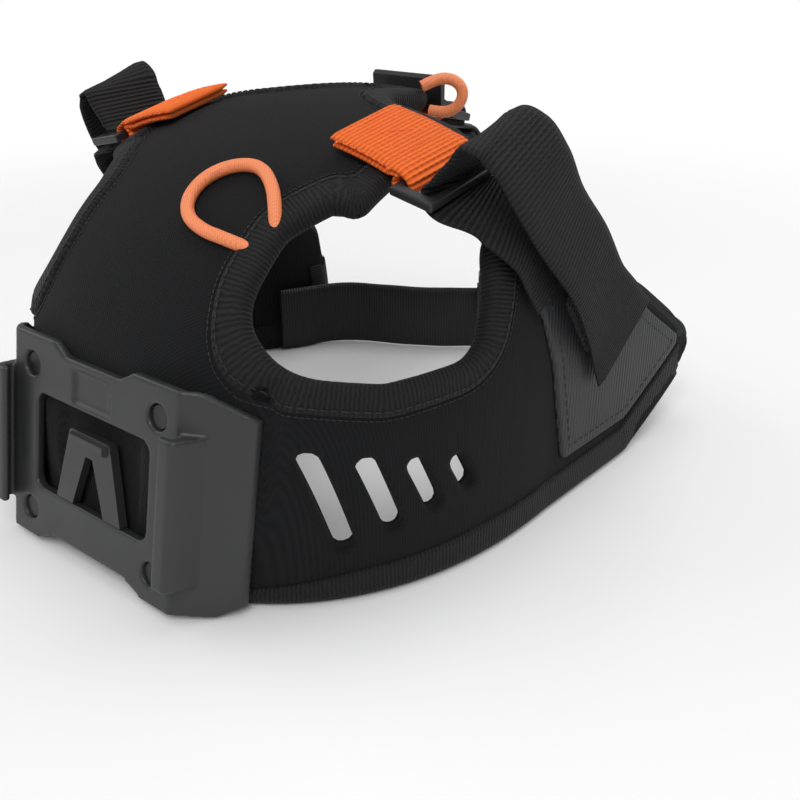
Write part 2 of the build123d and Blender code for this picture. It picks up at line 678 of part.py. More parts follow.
# The clip that sits over the nape strap's upper edge, with the eye that the rear strap ends in.
CLIP_SPOT = Vector(-3.0, 93.0, NAPE_STRAP + 0.5)
CLIP_ALONG = Vector(12, 8, 0).normalized()
CLIP_PLANE = Plane(CLIP_SPOT, x_dir=(-CLIP_ALONG.Y, CLIP_ALONG.X, 0), z_dir=CLIP_ALONG)
with BuildPart() as nape_clip:
    with BuildSketch(CLIP_PLANE):
        with Locations((0, -CLIP_LEG / 2)):
            Rectangle(STRAP + 2 * PLAY + 2 * CLIP_WALL, CLIP_LEG + 2 * CLIP_WALL)
        with Locations((0, -CLIP_LEG / 2 - CLIP_WALL)):
            Rectangle(STRAP + 2 * PLAY, CLIP_LEG + 2 * CLIP_WALL, mode=Mode.SUBTRACT)
    extrude(amount=CLIP_WIDTH / 2, both=True)
    with BuildSketch(Plane(CLIP_SPOT + Vector(0, 0, CLIP_WALL + EYE - 0.3), x_dir=CLIP_ALONG, z_dir=CLIP_PLANE.x_dir)):
        Circle(EYE)
        Circle(EYE - CLIP_WALL, mode=Mode.SUBTRACT)
    extrude(amount=CLIP_WIDTH / 2, both=True)
finish(nape_clip, "nape_clip")

with BuildPart() as rear_strap:
    start = REAR_STRAP_BAR + Vector(0, 0.85, -0.53) * (STRAP_HOLE + 1.2)
    foot = CLIP_SPOT + Vector(0, 0, CLIP_WALL + 2 * EYE)
    edge_on = CLIP_PLANE.x_dir * -1
    add(ribbon([
        (start, (1, 0, 0), REAR_WEB), ((0, 61, 93), (1, 0, 0), REAR_WEB), ((0, 71, 83), (1, -0.1, 0), REAR_WEB - 2),
        ((-0.5, 80, 70), (1, -0.4, 0), REAR_WEB - 5), ((-1.5, 87, 56), (1, -0.9, 0), REAR_WEB - 8),
        ((-2.5, 91.5, 43), edge_on, REAR_WEB - 10), (foot, edge_on, REAR_WEB - 10),
    ], 2 * STRAP))
    add(tube(REAR_STRAP_PLANE, STRAP_FOLD, 0, REAR_WEB))
    add(tube(REAR_STRAP_PLANE, STRAP_HOLE, 0, REAR_WEB), mode=Mode.SUBTRACT)
finish(rear_strap, "rear_strap")


# ---- Elastic cord loops -------------------------------------------------------------------------
def cord(route, name):
    """An elastic cord along straight runs joined by the largest arcs that fit."""
    points = [Vector(*point) for point in route]
    radii = []
    for before, corner, after in zip(points, points[1:], points[2:]):
        turn = (corner - before).get_angle(after - corner)
        shorter = min((corner - before).length, (after - corner).length)
        radii.append(0.45 * shorter / tan(radians(turn / 2)))
    print(name, "radii", [round(radius, 1) for radius in radii])
    with BuildPart() as loop_cord:
        with BuildLine() as path:
            FilletPolyline(*points, radius=radii)
        with BuildSketch(Plane(points[0], z_dir=points[1] - points[0])):
            Circle(CORD / 2)
        sweep()
        print(name, "length", round(sum(edge.length for edge in path.edges()), 1), "volume", round(loop_cord.part.volume, 1))
    finish(loop_cord, name)


FRONT_LOOP = [
    (34.8, -59.8, 90.6), (31.8, -55.2, 94.6), (26.7, -50.9, 98.1), (20.0, -47.6, 100.7), (12.5, -48.5, 100.5),
    (7.0, -53.5, 98.0), (6.5, -60.0, 94.0), (11.0, -65.0, 90.5), (18.5, -66.5, 88.5), (25.7, -66.2, 87.8),
    (33.0, -64.4, 87.5),
]
REAR_LOOP = [
    (13.0, 27.0, 111.0), (16.0, 30.5, 113.2), (19.8, 33.2, 113.2), (22.6, 34.6, 110.8), (22.8, 34.6, 107.2),
    (20.4, 33.8, 104.2), (16.8, 32.6, 103.0),
]
cord(FRONT_LOOP, "front_cord_loop")
cord(REAR_LOOP, "rear_cord_loop")
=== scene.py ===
"""Finished model of a head harness for a clip-on head torch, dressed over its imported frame.

The forehead plate faces -Y, the crown is up, and the wearer's left is +X. Sizes are in millimetres
until a mesh is made, when they become metres.
"""

from math import cos, pi, radians, sin, tan

import bmesh
import bpy
import numpy as np
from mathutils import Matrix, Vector
from mathutils.kdtree import KDTree


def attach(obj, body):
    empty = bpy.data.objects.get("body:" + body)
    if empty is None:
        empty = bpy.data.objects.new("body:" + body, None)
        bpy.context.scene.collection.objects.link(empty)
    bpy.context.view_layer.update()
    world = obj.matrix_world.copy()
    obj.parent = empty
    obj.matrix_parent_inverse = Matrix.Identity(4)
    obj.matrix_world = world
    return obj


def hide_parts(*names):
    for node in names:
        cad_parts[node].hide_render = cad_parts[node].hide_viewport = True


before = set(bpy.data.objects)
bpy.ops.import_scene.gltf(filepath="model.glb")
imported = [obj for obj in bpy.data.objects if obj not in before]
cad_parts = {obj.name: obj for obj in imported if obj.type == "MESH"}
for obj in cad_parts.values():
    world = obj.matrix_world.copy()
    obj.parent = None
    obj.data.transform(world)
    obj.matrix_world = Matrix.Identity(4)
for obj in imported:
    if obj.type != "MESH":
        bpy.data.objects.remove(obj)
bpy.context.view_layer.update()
scene = bpy.context.scene
MM = 0.001

# ---- Camera ----
# The harness is seen from its left front and from above its crown, close enough for some perspective.
# The camera looks straight along its own axis, with nothing shifted.
camera_data = bpy.data.cameras.new("camera")
camera_data.lens = 42.75
camera = bpy.data.objects.new("camera", camera_data)
scene.collection.objects.link(camera)
turn, rise = radians(38.17), radians(26.0)
back = Vector((sin(turn) * cos(rise), -cos(turn) * cos(rise), sin(rise)))
camera.location = (0.1921, -0.2114, 0.1515)
camera.rotation_mode = "QUATERNION"
camera.rotation_quaternion = (-back).to_track_quat("-Z", "Y")
camera_data.clip_start = 0.01
scene.camera = camera


# ---- Front cord loop ----
# A round elastic cord holds the torch's cable on the crown. Both ends are sewn into the tape's seam on
# the left of the stem, and it lies over the crown in one loose bight.
def node_material(name, color, roughness, **sockets):
    """A material with values set on its Principled shader, then its tree, that shader and its places."""
    made = bpy.data.materials.new(name)
    made.use_nodes = True
    tree = made.node_tree
    shader = tree.nodes["Principled BSDF"]
    shader.inputs["Base Color"].default_value = (*color, 1)
    shader.inputs["Roughness"].default_value = roughness
    for socket, value in sockets.items():
        shader.inputs[socket.replace("_", " ")].default_value = value
    return made, tree, shader, tree.nodes.new("ShaderNodeTexCoord").outputs


def add_node(tree, kind, *numbered, **named):
    """A node with its inputs set, or wired to another node's output. A small-letter name is a property."""
    node = tree.nodes.new(kind)
    for key, value in [*enumerate(numbered), *named.items()]:
        if isinstance(key, str) and key[0].islower():
            setattr(node, key, value)
            continue
        socket = node.inputs[key.replace("_", " ") if isinstance(key, str) else key]
        if isinstance(value, bpy.types.NodeSocket):
            tree.links.new(value, socket)
        else:
            socket.default_value = value
    return node


def calculated(tree, operation, *values):
    """The output of a sum on values or on other nodes' outputs."""
    return add_node(tree, "ShaderNodeMath", *values, operation=operation).outputs[0]


def two_tone(shader, factor, dark, light):
    """Colours a shader between a dark and a light tone."""
    tree = shader.id_data
    mix = add_node(tree, "ShaderNodeMix", data_type="RGBA", Factor=factor, A=(*dark, 1), B=(*light, 1))
    tree.links.new(mix.outputs["Result"], shader.inputs["Base Color"])


def bumped(shader, height, strength, distance):
    """Raises a shader's surface by a height."""
    tree = shader.id_data
    bump = add_node(tree, "ShaderNodeBump", Strength=strength, Distance=distance, Height=height)
    tree.links.new(bump.outputs["Normal"], shader.inputs["Normal"])


def node_group(name, kind, inputs, outputs):
    """An empty node group with named sockets, and its two end nodes."""
    tree = bpy.data.node_groups.new(name, kind)
    for way, sockets in (("INPUT", inputs), ("OUTPUT", outputs)):
        for socket, carries in sockets.items():
            tree.interface.new_socket(socket, in_out=way, socket_type=f"NodeSocket{carries}")
    return tree, tree.nodes.new("NodeGroupInput").outputs, tree.nodes.new("NodeGroupOutput").inputs


def weave_group():
    """Two crossed sets of threads: a height that varies over the cloth, and a painted shade taken from it,
    darker in the hollows between threads and lighter on their raised crossings.
    """
    tree, given, result = node_group(
        "weave", "ShaderNodeTree", {"Vector": "Vector", "Along": "Float", "Across": "Float", "Fuzz": "Float"},
        {"Height": "Float", "Shade": "Float"})
    ways = add_node(tree, "ShaderNodeSeparateXYZ", given["Vector"])
    waves = [calculated(tree, "SINE", calculated(tree, "MULTIPLY", ways.outputs[axis], given[count]))
             for axis, count in ((0, "Along"), (1, "Across"))]
    crossed = calculated(tree, "MULTIPLY", *waves)
    noise = add_node(tree, "ShaderNodeTexNoise", Vector=given["Vector"], Scale=2600.0, Detail=3.0)
    height = calculated(tree, "MULTIPLY_ADD", noise.outputs[0], given["Fuzz"], crossed)
    tree.links.new(height, result["Height"])
    # Painted shade: the weave's low places are coloured darker and its raised threads lighter.
    shade = add_node(tree, "ShaderNodeMapRange", Value=height, From_Min=-0.8, From_Max=1.3)
    tree.links.new(shade.outputs[0], result["Shade"])
    return tree


WEAVE = weave_group()


def cloth_material(name, dark, light, along, across, depth, roughness, fuzz=0.4, **sockets):
    """Woven or knitted cloth, whose weave drives the bump and a painted shade in the colour, darker in its
    hollows and lighter on its raised threads, under broad random blotches of tone.
    """
    made, tree, shader, place = node_material(name, dark, roughness, **sockets)
    weave = add_node(tree, "ShaderNodeGroup", node_tree=WEAVE, Vector=place["Object"], Along=along,
                     Across=across, Fuzz=fuzz).outputs
    blotch = add_node(tree, "ShaderNodeTexNoise", Vector=place["Object"], Scale=55.0, Detail=4.0)
    # Random blotches of tone, plus the weave's painted shade: darker hollows, lighter raised threads.
    tone_with_painted_shade = calculated(tree, "MULTIPLY_ADD", blotch.outputs[0], 0.35, weave["Shade"])
    two_tone(shader, tone_with_painted_shade, dark, light)
    bumped(shader, weave["Height"], 0.7, depth)
    return made


CORD = 3.4  # thickness of the elastic
FRONT_LOOP = [
    (33.9, -57.6, 87.5), (31.8, -55.2, 94.6), (26.7, -50.9, 98.1), (20.0, -47.6, 100.7), (12.5, -48.5, 100.5),
    (7.0, -53.5, 98.0), (6.5, -60.0, 94.0), (11.0, -65.0, 90.5), (18.5, -66.5, 88.5), (25.7, -66.2, 87.8),
    (32.1, -61.8, 84.5),
]
orange_cord = cloth_material("orange_cord", (0.72, 0.17, 0.06), (0.9, 0.28, 0.11), 9000, 7000, 0.00006, 0.5)


def add_object(name, data):
    """A new object in the scene."""
    made = bpy.data.objects.new(name, data)
    scene.collection.objects.link(made)
    return made


def elastic_loop(name, route):
    """A round cord along a smooth route, which it follows up to its two end points."""
    curve = bpy.data.curves.new(name, "CURVE")
    curve.dimensions = "3D"
    curve.bevel_depth = CORD / 2 * MM
    curve.bevel_resolution = 5
    spline = curve.splines.new("NURBS")
    spline.points.add(len(route) - 1)
    for point, place in zip(spline.points, route):
        point.co = (*(value * MM for value in place), 1)
    spline.order_u = 3
    spline.use_endpoint_u = True
    curve.materials.append(orange_cord)
    return add_object(name, curve)


front_loop = elastic_loop("front_elastic_loop", FRONT_LOOP)
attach(front_loop, "harness")
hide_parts("front_cord_loop")


# ---- Shell ----
# The brow band, stem, three crown arms and two wings are one moulded piece of neoprene foam, faced
# with a fine horizontal knit.  It is cut with rounded notches and slanted air vents.
HEAD_HALF_WIDTH, HEAD_FRONT, HEAD_REAR, CROWN_HEIGHT = 79.5, 95.0, 110.0, 111.5
SHOULDER, FRONT_BROW, TEMPLE_BROW, NAPE_BROW = 1.65, 3.2, 8.0, 5.0
FRONT_SQUARE, REAR_SQUARE = 2.3, 8.0
WING_SPLAY, TUCK, TUCK_START, TUCK_LENGTH, WING_TOP = 0.05, 20.0, 20.0, 45.0, 89.0
FOAM, LINING = 4.4, 0.8
SKIN = FOAM + LINING
BINDING = 1.0
CELL = 0.0125  # of the sheet's half width


def upright(height, crown, brow):
    """Share of the full plan size that is left at each height."""
    return np.maximum(1 - (np.clip(height, 0, crown) / crown) ** brow, 0) ** (1 / SHOULDER)


def half_axes(height, inset, rear):
    """Half width, half length and squareness of the plan section at each height."""
    crown = CROWN_HEIGHT - inset
    across = (HEAD_HALF_WIDTH - inset) * upright(height, crown, TEMPLE_BROW)
    front = (HEAD_FRONT - inset) * upright(height, crown, FRONT_BROW)
    behind = (HEAD_REAR - inset) * upright(height, crown, NAPE_BROW)
    square = FRONT_SQUARE + (REAR_SQUARE - FRONT_SQUARE) * (1 - np.clip(height / crown, 0, 1) ** 4)
    return across, np.where(rear, behind, front), np.where(rear, square, FRONT_SQUARE)


def splayed(x, y, height):
    """Moves points across: behind the ears both wings splay outward, and the right one is tucked in."""
    side = np.where(y > 0, x / HEAD_HALF_WIDTH, 0)
    share = np.clip((y - TUCK_START) / TUCK_LENGTH, 0, 1)
    tucked = TUCK * share * share * (3 - 2 * share) * np.maximum(1 - (height / WING_TOP) ** 2, 0)
    return x + side * WING_SPLAY * y - np.where(side < 0, side * tucked, 0)


def head_point(sheet, inset=0.0):
    """Points of the head form for places on the flat sheet, whose middle is the crown and rim the hem."""
    reach = np.clip(np.hypot(sheet[:, 0], sheet[:, 1]), 1e-4, 1.0)
    height = (CROWN_HEIGHT - inset) * np.cos(reach * pi / 2)
    way = sheet / np.hypot(sheet[:, 0], sheet[:, 1]).clip(1e-4)[:, None]
    across, along, square = half_axes(height, inset, way[:, 1] > 0)
    across, along, way = np.maximum(across, 1e-3), np.maximum(along, 1e-3), way + 1e-9
    size = (np.abs(way[:, 0] / across) ** square + np.abs(way[:, 1] / along) ** square) ** (-1 / square)
    x, y = way[:, 0] * size, way[:, 1] * size
    return np.column_stack([splayed(x, y, height), y, height])


def rounded(points, radii, steps=7):
    """A closed outline with its corners rounded."""
    points = np.array(points, float)
    outline = []
    for before, corner, after, radius in zip(np.roll(points, 1, 0), points, np.roll(points, -1, 0), radii):
        first, second = before - corner, after - corner
        first, second = first / np.linalg.norm(first), second / np.linalg.norm(second)
        half = np.arccos(np.clip(first @ second, -1, 1)) / 2
        if radius == 0:
            outline.append(corner)
            continue
        middle = corner + (first + second) / np.linalg.norm(first + second) * radius / sin(half)
        start = corner + first * radius / tan(half) - middle
        end = corner + second * radius / tan(half) - middle
        for share in np.linspace(0, 1, steps):
            spoke = start * (1 - share) + end * share
            outline.append(middle + spoke / np.linalg.norm(spoke) * radius)
    return np.array(outline)


def inside_distance(places, outline):
    """Signed distance from each place to a closed outline, negative inside it."""
    best = np.full(len(places), 1e9)
    crossed = np.zeros(len(places), bool)
    for start, end in zip(outline, np.roll(outline, -1, 0)):
        run = end - start
        share = np.clip(((places - start) @ run) / (run @ run), 0, 1)
        best = np.minimum(best, np.hypot(*(places - start - share[:, None] * run).T))
        over = (start[1] > places[:, 1]) != (end[1] > places[:, 1])
        level = start[0] + (places[:, 1] - start[1]) * run[0] / (run[1] if run[1] else 1)
        crossed ^= over & (places[:, 0] < level)
    return np.where(crossed, -best, best)


STEM_HALF, ARM_FRONT, ARM_REAR, ARM_END = 36.5, -44.0, 3.0, 49.0
REAR_ARM_HALF, REAR_ARM_END = 14.5, 35.0
OPENING_FLOOR, LEFT_WING_TIP, RIGHT_WING_END, HEM_LIFT = 58.0, (103.0, 24.7), 66.0, 46.0
slope_end = WING_TOP - (RIGHT_WING_END - 4) * (WING_TOP - LEFT_WING_TIP[1]) / (LEFT_WING_TIP[0] - 4)
wing_top = [(4, WING_TOP), (-22, WING_TOP), (-32, OPENING_FLOOR + 2), (-56, OPENING_FLOOR),
            (-78, OPENING_FLOOR + 4.5), (-120, OPENING_FLOOR + 4.5)]
LEFT_WING = rounded([(-120, -9), (HEM_LIFT - 7, -9), (HEM_LIFT, 0), LEFT_WING_TIP, *wing_top],
                    [0, 0, 12, 9.5, 9.9, 9.9, 9.5, 9.5, 9.5, 0])
RIGHT_WING = rounded([(-120, -9), (HEM_LIFT - 7, -9), (HEM_LIFT, 0), (RIGHT_WING_END, 2),
                      (RIGHT_WING_END, slope_end), *wing_top], [0, 0, 5, 5, 9.5, 9.9, 9.9, 9.5, 9.5, 9.5, 0])
half_crown = [(REAR_ARM_HALF, REAR_ARM_END, 9), (REAR_ARM_HALF, ARM_REAR, 12), (ARM_END, ARM_REAR, 5),
              (ARM_END, ARM_FRONT, 5), (STEM_HALF + 6, ARM_FRONT - 1.5, 0), (STEM_HALF, -57, 8),
              (STEM_HALF, -72, 8), (STEM_HALF + 11.5, -80, 0), (STEM_HALF + 11.5, -125, 0)]
whole_crown = half_crown + [(-x, y, radius) for x, y, radius in half_crown[::-1]]
CROWN = rounded([point[:2] for point in whole_crown], [point[2] for point in whole_crown])
VENTS, VENT_WIDTH, VENT_PITCH, VENT_FIRST = 4, 4.6, 11.1, (-70.0, 29.2)
VENT_LENGTH, VENT_SHORTEN, VENT_LEAN, VENT_LEAN_STEP = 28.0, 5.5, 13.0, 4.5


def vent_distance(places):
    """Signed distance to the nearest vent slot in the side view."""
    best = np.full(len(places), 1e9)
    for step in range(VENTS):
        middle = np.array([VENT_FIRST[0] + VENT_PITCH * step, VENT_FIRST[1]])
        lean = radians(90 + VENT_LEAN + VENT_LEAN_STEP * step)
        half = np.array([cos(lean), sin(lean)]) * (VENT_LENGTH - VENT_SHORTEN * step - VENT_WIDTH) / 2
        share = np.clip(((places - middle) @ half) / (half @ half), -1, 1)
        best = np.minimum(best, np.hypot(*(places - middle - share[:, None] * half).T) - VENT_WIDTH / 2)
    return best


CROWN_CUT = 45.0  # height above which the crown's outline shapes the shell
CORNER_FILL = 16.0  # how far the stem's corners with the brow band are rounded


def edge_distance(points):
    """Signed distance to the shell's outline, negative where there is cloth."""
    wing = np.where(points[:, 0] > 0, inside_distance(points[:, 1:], LEFT_WING),
                    inside_distance(points[:, 1:], RIGHT_WING))
    crown = np.maximum(inside_distance(points[:, :2], CROWN), CROWN_CUT - points[:, 2])
    near = np.maximum(CORNER_FILL - np.abs(wing - crown), 0) / CORNER_FILL
    return np.maximum(np.minimum(wing, crown) - near * near * CORNER_FILL / 4, -points[:, 2])


def flat_sheet():
    """Places and triangles of the whole flat sheet."""
    count = int(1 / CELL) + 1
    line = np.arange(-count, count + 1) * CELL
    across, along = np.meshgrid(line, line)
    places = np.column_stack([across.ravel(), along.ravel()])
    reach = np.hypot(*places.T)
    over = reach > 1
    places[over] /= reach[over, None]
    size = len(line)
    corner = (np.arange(size - 1)[:, None] * size + np.arange(size - 1)).ravel()
    quads = np.column_stack([corner, corner + 1, corner + size + 1, corner + size])
    quads = quads[(reach[quads] < 1 + CELL * 1.5).all(axis=1) & (reach[quads].min(axis=1) < 1)]
    flip = (places[quads[:, 0], 0] * places[quads[:, 0], 1]) > 0
    first = np.where(flip[:, None], quads[:, [0, 1, 3]], quads[:, [0, 1, 2]])
    second = np.where(flip[:, None], quads[:, [1, 2, 3]], quads[:, [0, 2, 3]])
    return places, np.vstack([first, second])


def split(places, faces, field, level):
    """Splits the triangles that cross a level of a field, which is also returned for the new places."""
    value = field - level
    value[np.abs(value) < 1e-6] = 1e-6
    edges = np.sort(np.vstack([faces[:, [0, 1]], faces[:, [1, 2]], faces[:, [2, 0]]]), axis=1)
    crossing = np.unique(edges[(value[edges[:, 0]] > 0) != (value[edges[:, 1]] > 0)], axis=0)
    share = value[crossing[:, 0]] / (value[crossing[:, 0]] - value[crossing[:, 1]])
    new = places[crossing[:, 0]] * (1 - share[:, None]) + places[crossing[:, 1]] * share[:, None]
    found = {(int(a), int(b)): len(places) + k for k, (a, b) in enumerate(crossing)}
    above = value[faces] > 0
    mixed = above.any(axis=1) & ~above.all(axis=1)
    kept = [faces[~mixed]]
    made = []
    for face, high in zip(faces[mixed], above[mixed]):
        lone = int(np.argmax(high)) if high.sum() == 1 else int(np.argmin(high))
        a, b, c = (int(face[(lone + k) % 3]) for k in range(3))
        ab, ca = found[(min(a, b), max(a, b))], found[(min(a, c), max(a, c))]
        made += [(a, ab, ca), (ab, b, c), (ab, c, ca)]
    kept.append(np.array(made, int).reshape(-1, 3))
    places = np.vstack([places, new])
    field = np.concatenate([field, np.full(len(new), level)])
    return places, np.vstack(kept), field


def trimmed(places, faces, keep):
    """The kept triangles and only the places that they use."""
    faces = faces[keep]
    used, faces = np.unique(faces, return_inverse=True)
    return places[used], faces.reshape(-1, 3), used


def cut_along(places, faces, field, level):
    """The part of a sheet where a field is no more than a level, split along it."""
    places, faces, field = split(places, faces, field, level)
    places, faces, used = trimmed(places, faces, (field[faces] <= level + 1e-6).all(axis=1))
    return places, faces, field[used]


def cut_out(places, faces, distance, levels):
    """The part of a sheet inside the outline that a distance is measured from, split along levels."""
    for level in levels:
        places, faces, field = split(places, faces, distance(head_point(places)), level)
    field = distance(head_point(places))
    places, faces, used = trimmed(places, faces, (field[faces] <= 1e-3).all(axis=1))
    return places, faces, field[used]


def quarter_round(field, width):
    """Rise of a rounded edge: none at its rim, where the field is nought, and full a width inside it."""
    return np.sqrt(np.clip(1 - (1 + np.clip(field, -width, 0) / width) ** 2, 0, 1))


EDGE_COVER = 1.5  # the knit stops short of the tape's rolled edge
PLATE, PLATE_LEAN, PLATE_FOOT = 2.8, 11.2, (0.0, -99.3, 10.3)
PLATE_HALF, PLATE_FLAT_HALF, PLATE_TOP, PLATE_BOTTOM = 47.0, 33.0, 49.5, -9.0
FLANK_SLOPE = 12 / 13
TONGUE_MIDDLE, TONGUE_HALF, TONGUE_RISE = 18.0, 15.5, 12.5
TONGUE_ROOM = 1.5  # depth of the hollow that the tongue flexes into


def pressed(points, clearance=0.1):
    """Points in front of the plate's back are pushed in to lie on it, with a soft step round its rim."""
    up = (points[:, 2] - PLATE_FOOT[2]) / cos(radians(PLATE_LEAN))
    aside = np.abs(points[:, 0])
    depth = PLATE + clearance + np.maximum(aside - PLATE_FLAT_HALF, 0) * FLANK_SLOPE
    beside_tongue = np.maximum.reduce([aside - TONGUE_HALF, np.abs(up - TONGUE_MIDDLE) - TONGUE_RISE, 0 * up])
    depth += TONGUE_ROOM * np.clip(1 - beside_tongue / 1.5, 0, 1)
    behind = PLATE_FOOT[1] + up * sin(radians(PLATE_LEAN)) + depth / cos(radians(PLATE_LEAN))
    outside = np.maximum.reduce([up - PLATE_TOP, PLATE_BOTTOM - up, aside - PLATE_HALF, 0 * up])
    push = np.maximum(behind - points[:, 1], 0) * np.clip(1 - outside / 4, 0, 1) ** 2
    points = points.copy()
    points[:, 1] += np.where(points[:, 1] < -40, push, 0)
    return points


def rim_edges(faces):
    """Directed edges that only one triangle uses."""
    edges = np.vstack([faces[:, [0, 1]], faces[:, [1, 2]], faces[:, [2, 0]]])
    pairs = np.sort(edges, axis=1)
    group, counts = np.unique(pairs, axis=0, return_inverse=True, return_counts=True)[1:]
    return edges[counts[group.ravel()] == 1]


def new_piece(name, points, faces, material, uv=None):
    """A smooth mesh object from points in millimetres, with a map in the same units where one is given."""
    mesh = bpy.data.meshes.new(name)
    mesh.from_pydata((np.asarray(points) * MM).tolist(), [], [list(map(int, face)) for face in faces])
    mesh.materials.append(material)
    if uv is not None:
        layer = mesh.uv_layers.new(name="UVMap")
        corners = np.empty(len(mesh.loops), np.int32)
        mesh.loops.foreach_get("vertex_index", corners)
        layer.data.foreach_set("uv", (np.asarray(uv)[corners] * MM).ravel())
    mesh.validate()
    mesh.shade_smooth()
    return add_object(name, mesh)


def faced_outward(piece, merge=0.0):
    """Merges points that lie closer than a distance, and turns every face outward."""
    edited = bmesh.new()
    edited.from_mesh(piece.data)
    if merge:
        bmesh.ops.remove_doubles(edited, verts=edited.verts, dist=merge)
    bmesh.ops.recalc_face_normals(edited, faces=edited.faces)
    edited.to_mesh(piece.data)
    edited.free()
    return piece


def walled(name, places, faces, outer, inner, material, uv=None, press=True):
    """A closed piece between two insets of the head form: outer face, inner face and rim."""
    top, bottom = head_point(places, outer), head_point(places, inner)
    if press:
        top = pressed(top)
    count = len(places)
    walls = [(b, a, a + count, b + count) for a, b in rim_edges(faces)]
    everything = [tuple(face) for face in faces] + [tuple(face[::-1] + count) for face in faces] + walls
    both = None if uv is None else np.vstack([uv, uv])
    return faced_outward(new_piece(name, np.vstack([top, bottom]), everything, material, both), merge=2e-6)


def keep_on_harness(piece, slot, *nodes):
    """The piece rides on the harness and stands for its nodes, which are hidden; the slot is not used."""
    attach(piece, "harness")
    if nodes:
        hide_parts(*nodes)
    return piece


places, faces = flat_sheet()
places, faces, edge = cut_along(places, faces, edge_distance(head_point(places)), -EDGE_COVER)
RIDGE, RIDGE_RISE, RIDGE_SPREAD = 7.0, 0.9, 1.3  # the raised line inside a wing's unbound rear edge
for level in (-RIDGE - 1.4, -RIDGE, -RIDGE + 1.4):
    places, faces, edge = split(places, faces, edge, level)
SLOPE_ROLL, SLOPE_DROP = 2.0, 1.6  # width and depth of that edge's own roll
VENT_ROLL, VENT_DIP = 1.2, 0.9  # width and depth of the knit's dip into a vent
for level in (VENT_ROLL, VENT_ROLL / 3, 0.0):
    places, faces, vent = split(places, faces, vent_distance(head_point(places)[:, 1:]), level)
places, faces, used = trimmed(places, faces, (vent[faces] >= -1e-6).all(axis=1))
points = head_point(places)
edge, vent = edge_distance(points), vent_distance(points[:, 1:])
on_slope = (points[:, 1] > 8) & (np.abs(points[:, 0]) > 50)
ridge = np.where(on_slope, RIDGE_RISE * np.exp(-((edge + RIDGE) / RIDGE_SPREAD) ** 2), 0)
rolled = np.where(on_slope, SLOPE_DROP * np.clip(1 + (edge + EDGE_COVER) / SLOPE_ROLL, 0, 1) ** 2, 0)
sunk = VENT_DIP * np.clip(1 - vent / VENT_ROLL, 0, 1) ** 2 + rolled
knit = cloth_material("fine_knit", (0.0035, 0.0036, 0.004), (0.0105, 0.0108, 0.012), 7200, 12000, 0.00008,
                      0.92, Sheen_Weight=0.03, Sheen_Roughness=0.6, Specular_IOR_Level=0.12)
jersey = cloth_material("jersey_lining", (0.006, 0.006, 0.007), (0.015, 0.015, 0.017), 9000, 9000, 0.00006,
                        0.92, Specular_IOR_Level=0.12)
shell = walled("knit_shell", places, faces, sunk - ridge, FOAM, knit)
keep_on_harness(shell, "knit", "crown_shell")
lining = walled("jersey_lining", places, faces, FOAM + 0.02, SKIN, jersey, press=False)
keep_on_harness(lining, "lining", "lining")


# ---- Edge tape ----
# Ribbed elastic tape is rolled over every cut edge but the wings' rear slopes. One line of thread
# holds it down along its inner border, and a finer seam runs beside it in the knit.
BINDING_WIDTH = 8.5
RIB = 1.05  # from one rib of the tape to the next


def rim_loops(faces):
    """The closed rims of a mesh, as lists of places in order."""
    following = {int(a): int(b) for a, b in rim_edges(faces)}
    loops = []
    while following:
        start = next(iter(following))
        loop = []
        while start in following:
            loop.append(start)
            start = following.pop(start)
        loops.append(loop)
    return sorted(loops, key=len)


def contour(level):
    """Places along the line that lies a set distance inside the shell's outline."""
    places, faces = flat_sheet()
    places, faces, edge = cut_along(places, faces, edge_distance(head_point(places)), level)
    return places[rim_loops(faces)[-1]]


def walk(points):
    """Distance along a line of points."""
    return np.concatenate([[0], np.cumsum(np.linalg.norm(np.diff(points, axis=0), axis=1))])


TAPE_JOIN = (-70, 60, 45)  # where the tape starts and ends, on the right wing's bare slope


def from_join(line):
    """A closed line of points, started where it passes nearest to the tape's join."""
    return np.roll(line, -int(np.argmin(np.linalg.norm(line - TAPE_JOIN, axis=1))), axis=0)


outline = from_join(head_point(contour(-0.01), SKIN / 2))
fine_walk = np.arange(0, walk(outline)[-1], 0.2)
fine_outline = np.column_stack([np.interp(fine_walk, walk(outline), outline[:, k]) for k in range(3)])
outline_tree = KDTree(len(fine_outline))
for index, point in enumerate(fine_outline):
    outline_tree.insert(point, index)
outline_tree.balance()


def along_outline(points):
    """How far along the outline the nearest point of it lies, for each point."""
    return np.array([fine_walk[outline_tree.find(point)[1]] for point in points])


def is_bound(points):
    """Whether the outline is taped where these points lie: on the hem, before the ears and on the crown."""
    hem = (points[:, 2] < 34) & (points[:, 1] < 78)
    front = points[:, 1] < -14
    crown = (np.abs(points[:, 0]) < 51) & (points[:, 2] > 50)
    return hem | front | crown


HEM_BORDER = [(-120, -5), (78, -5), (78, 30), (40, 11.5), (-30, 10.5), (-66, 9), (-88, 5), (-120, 5)]
TAPE_ROLL = 3.4  # from the outline, where the tape starts to turn round the edge
TAPE_STEP = 1.2  # over which the tape's inner border rises to its full thickness


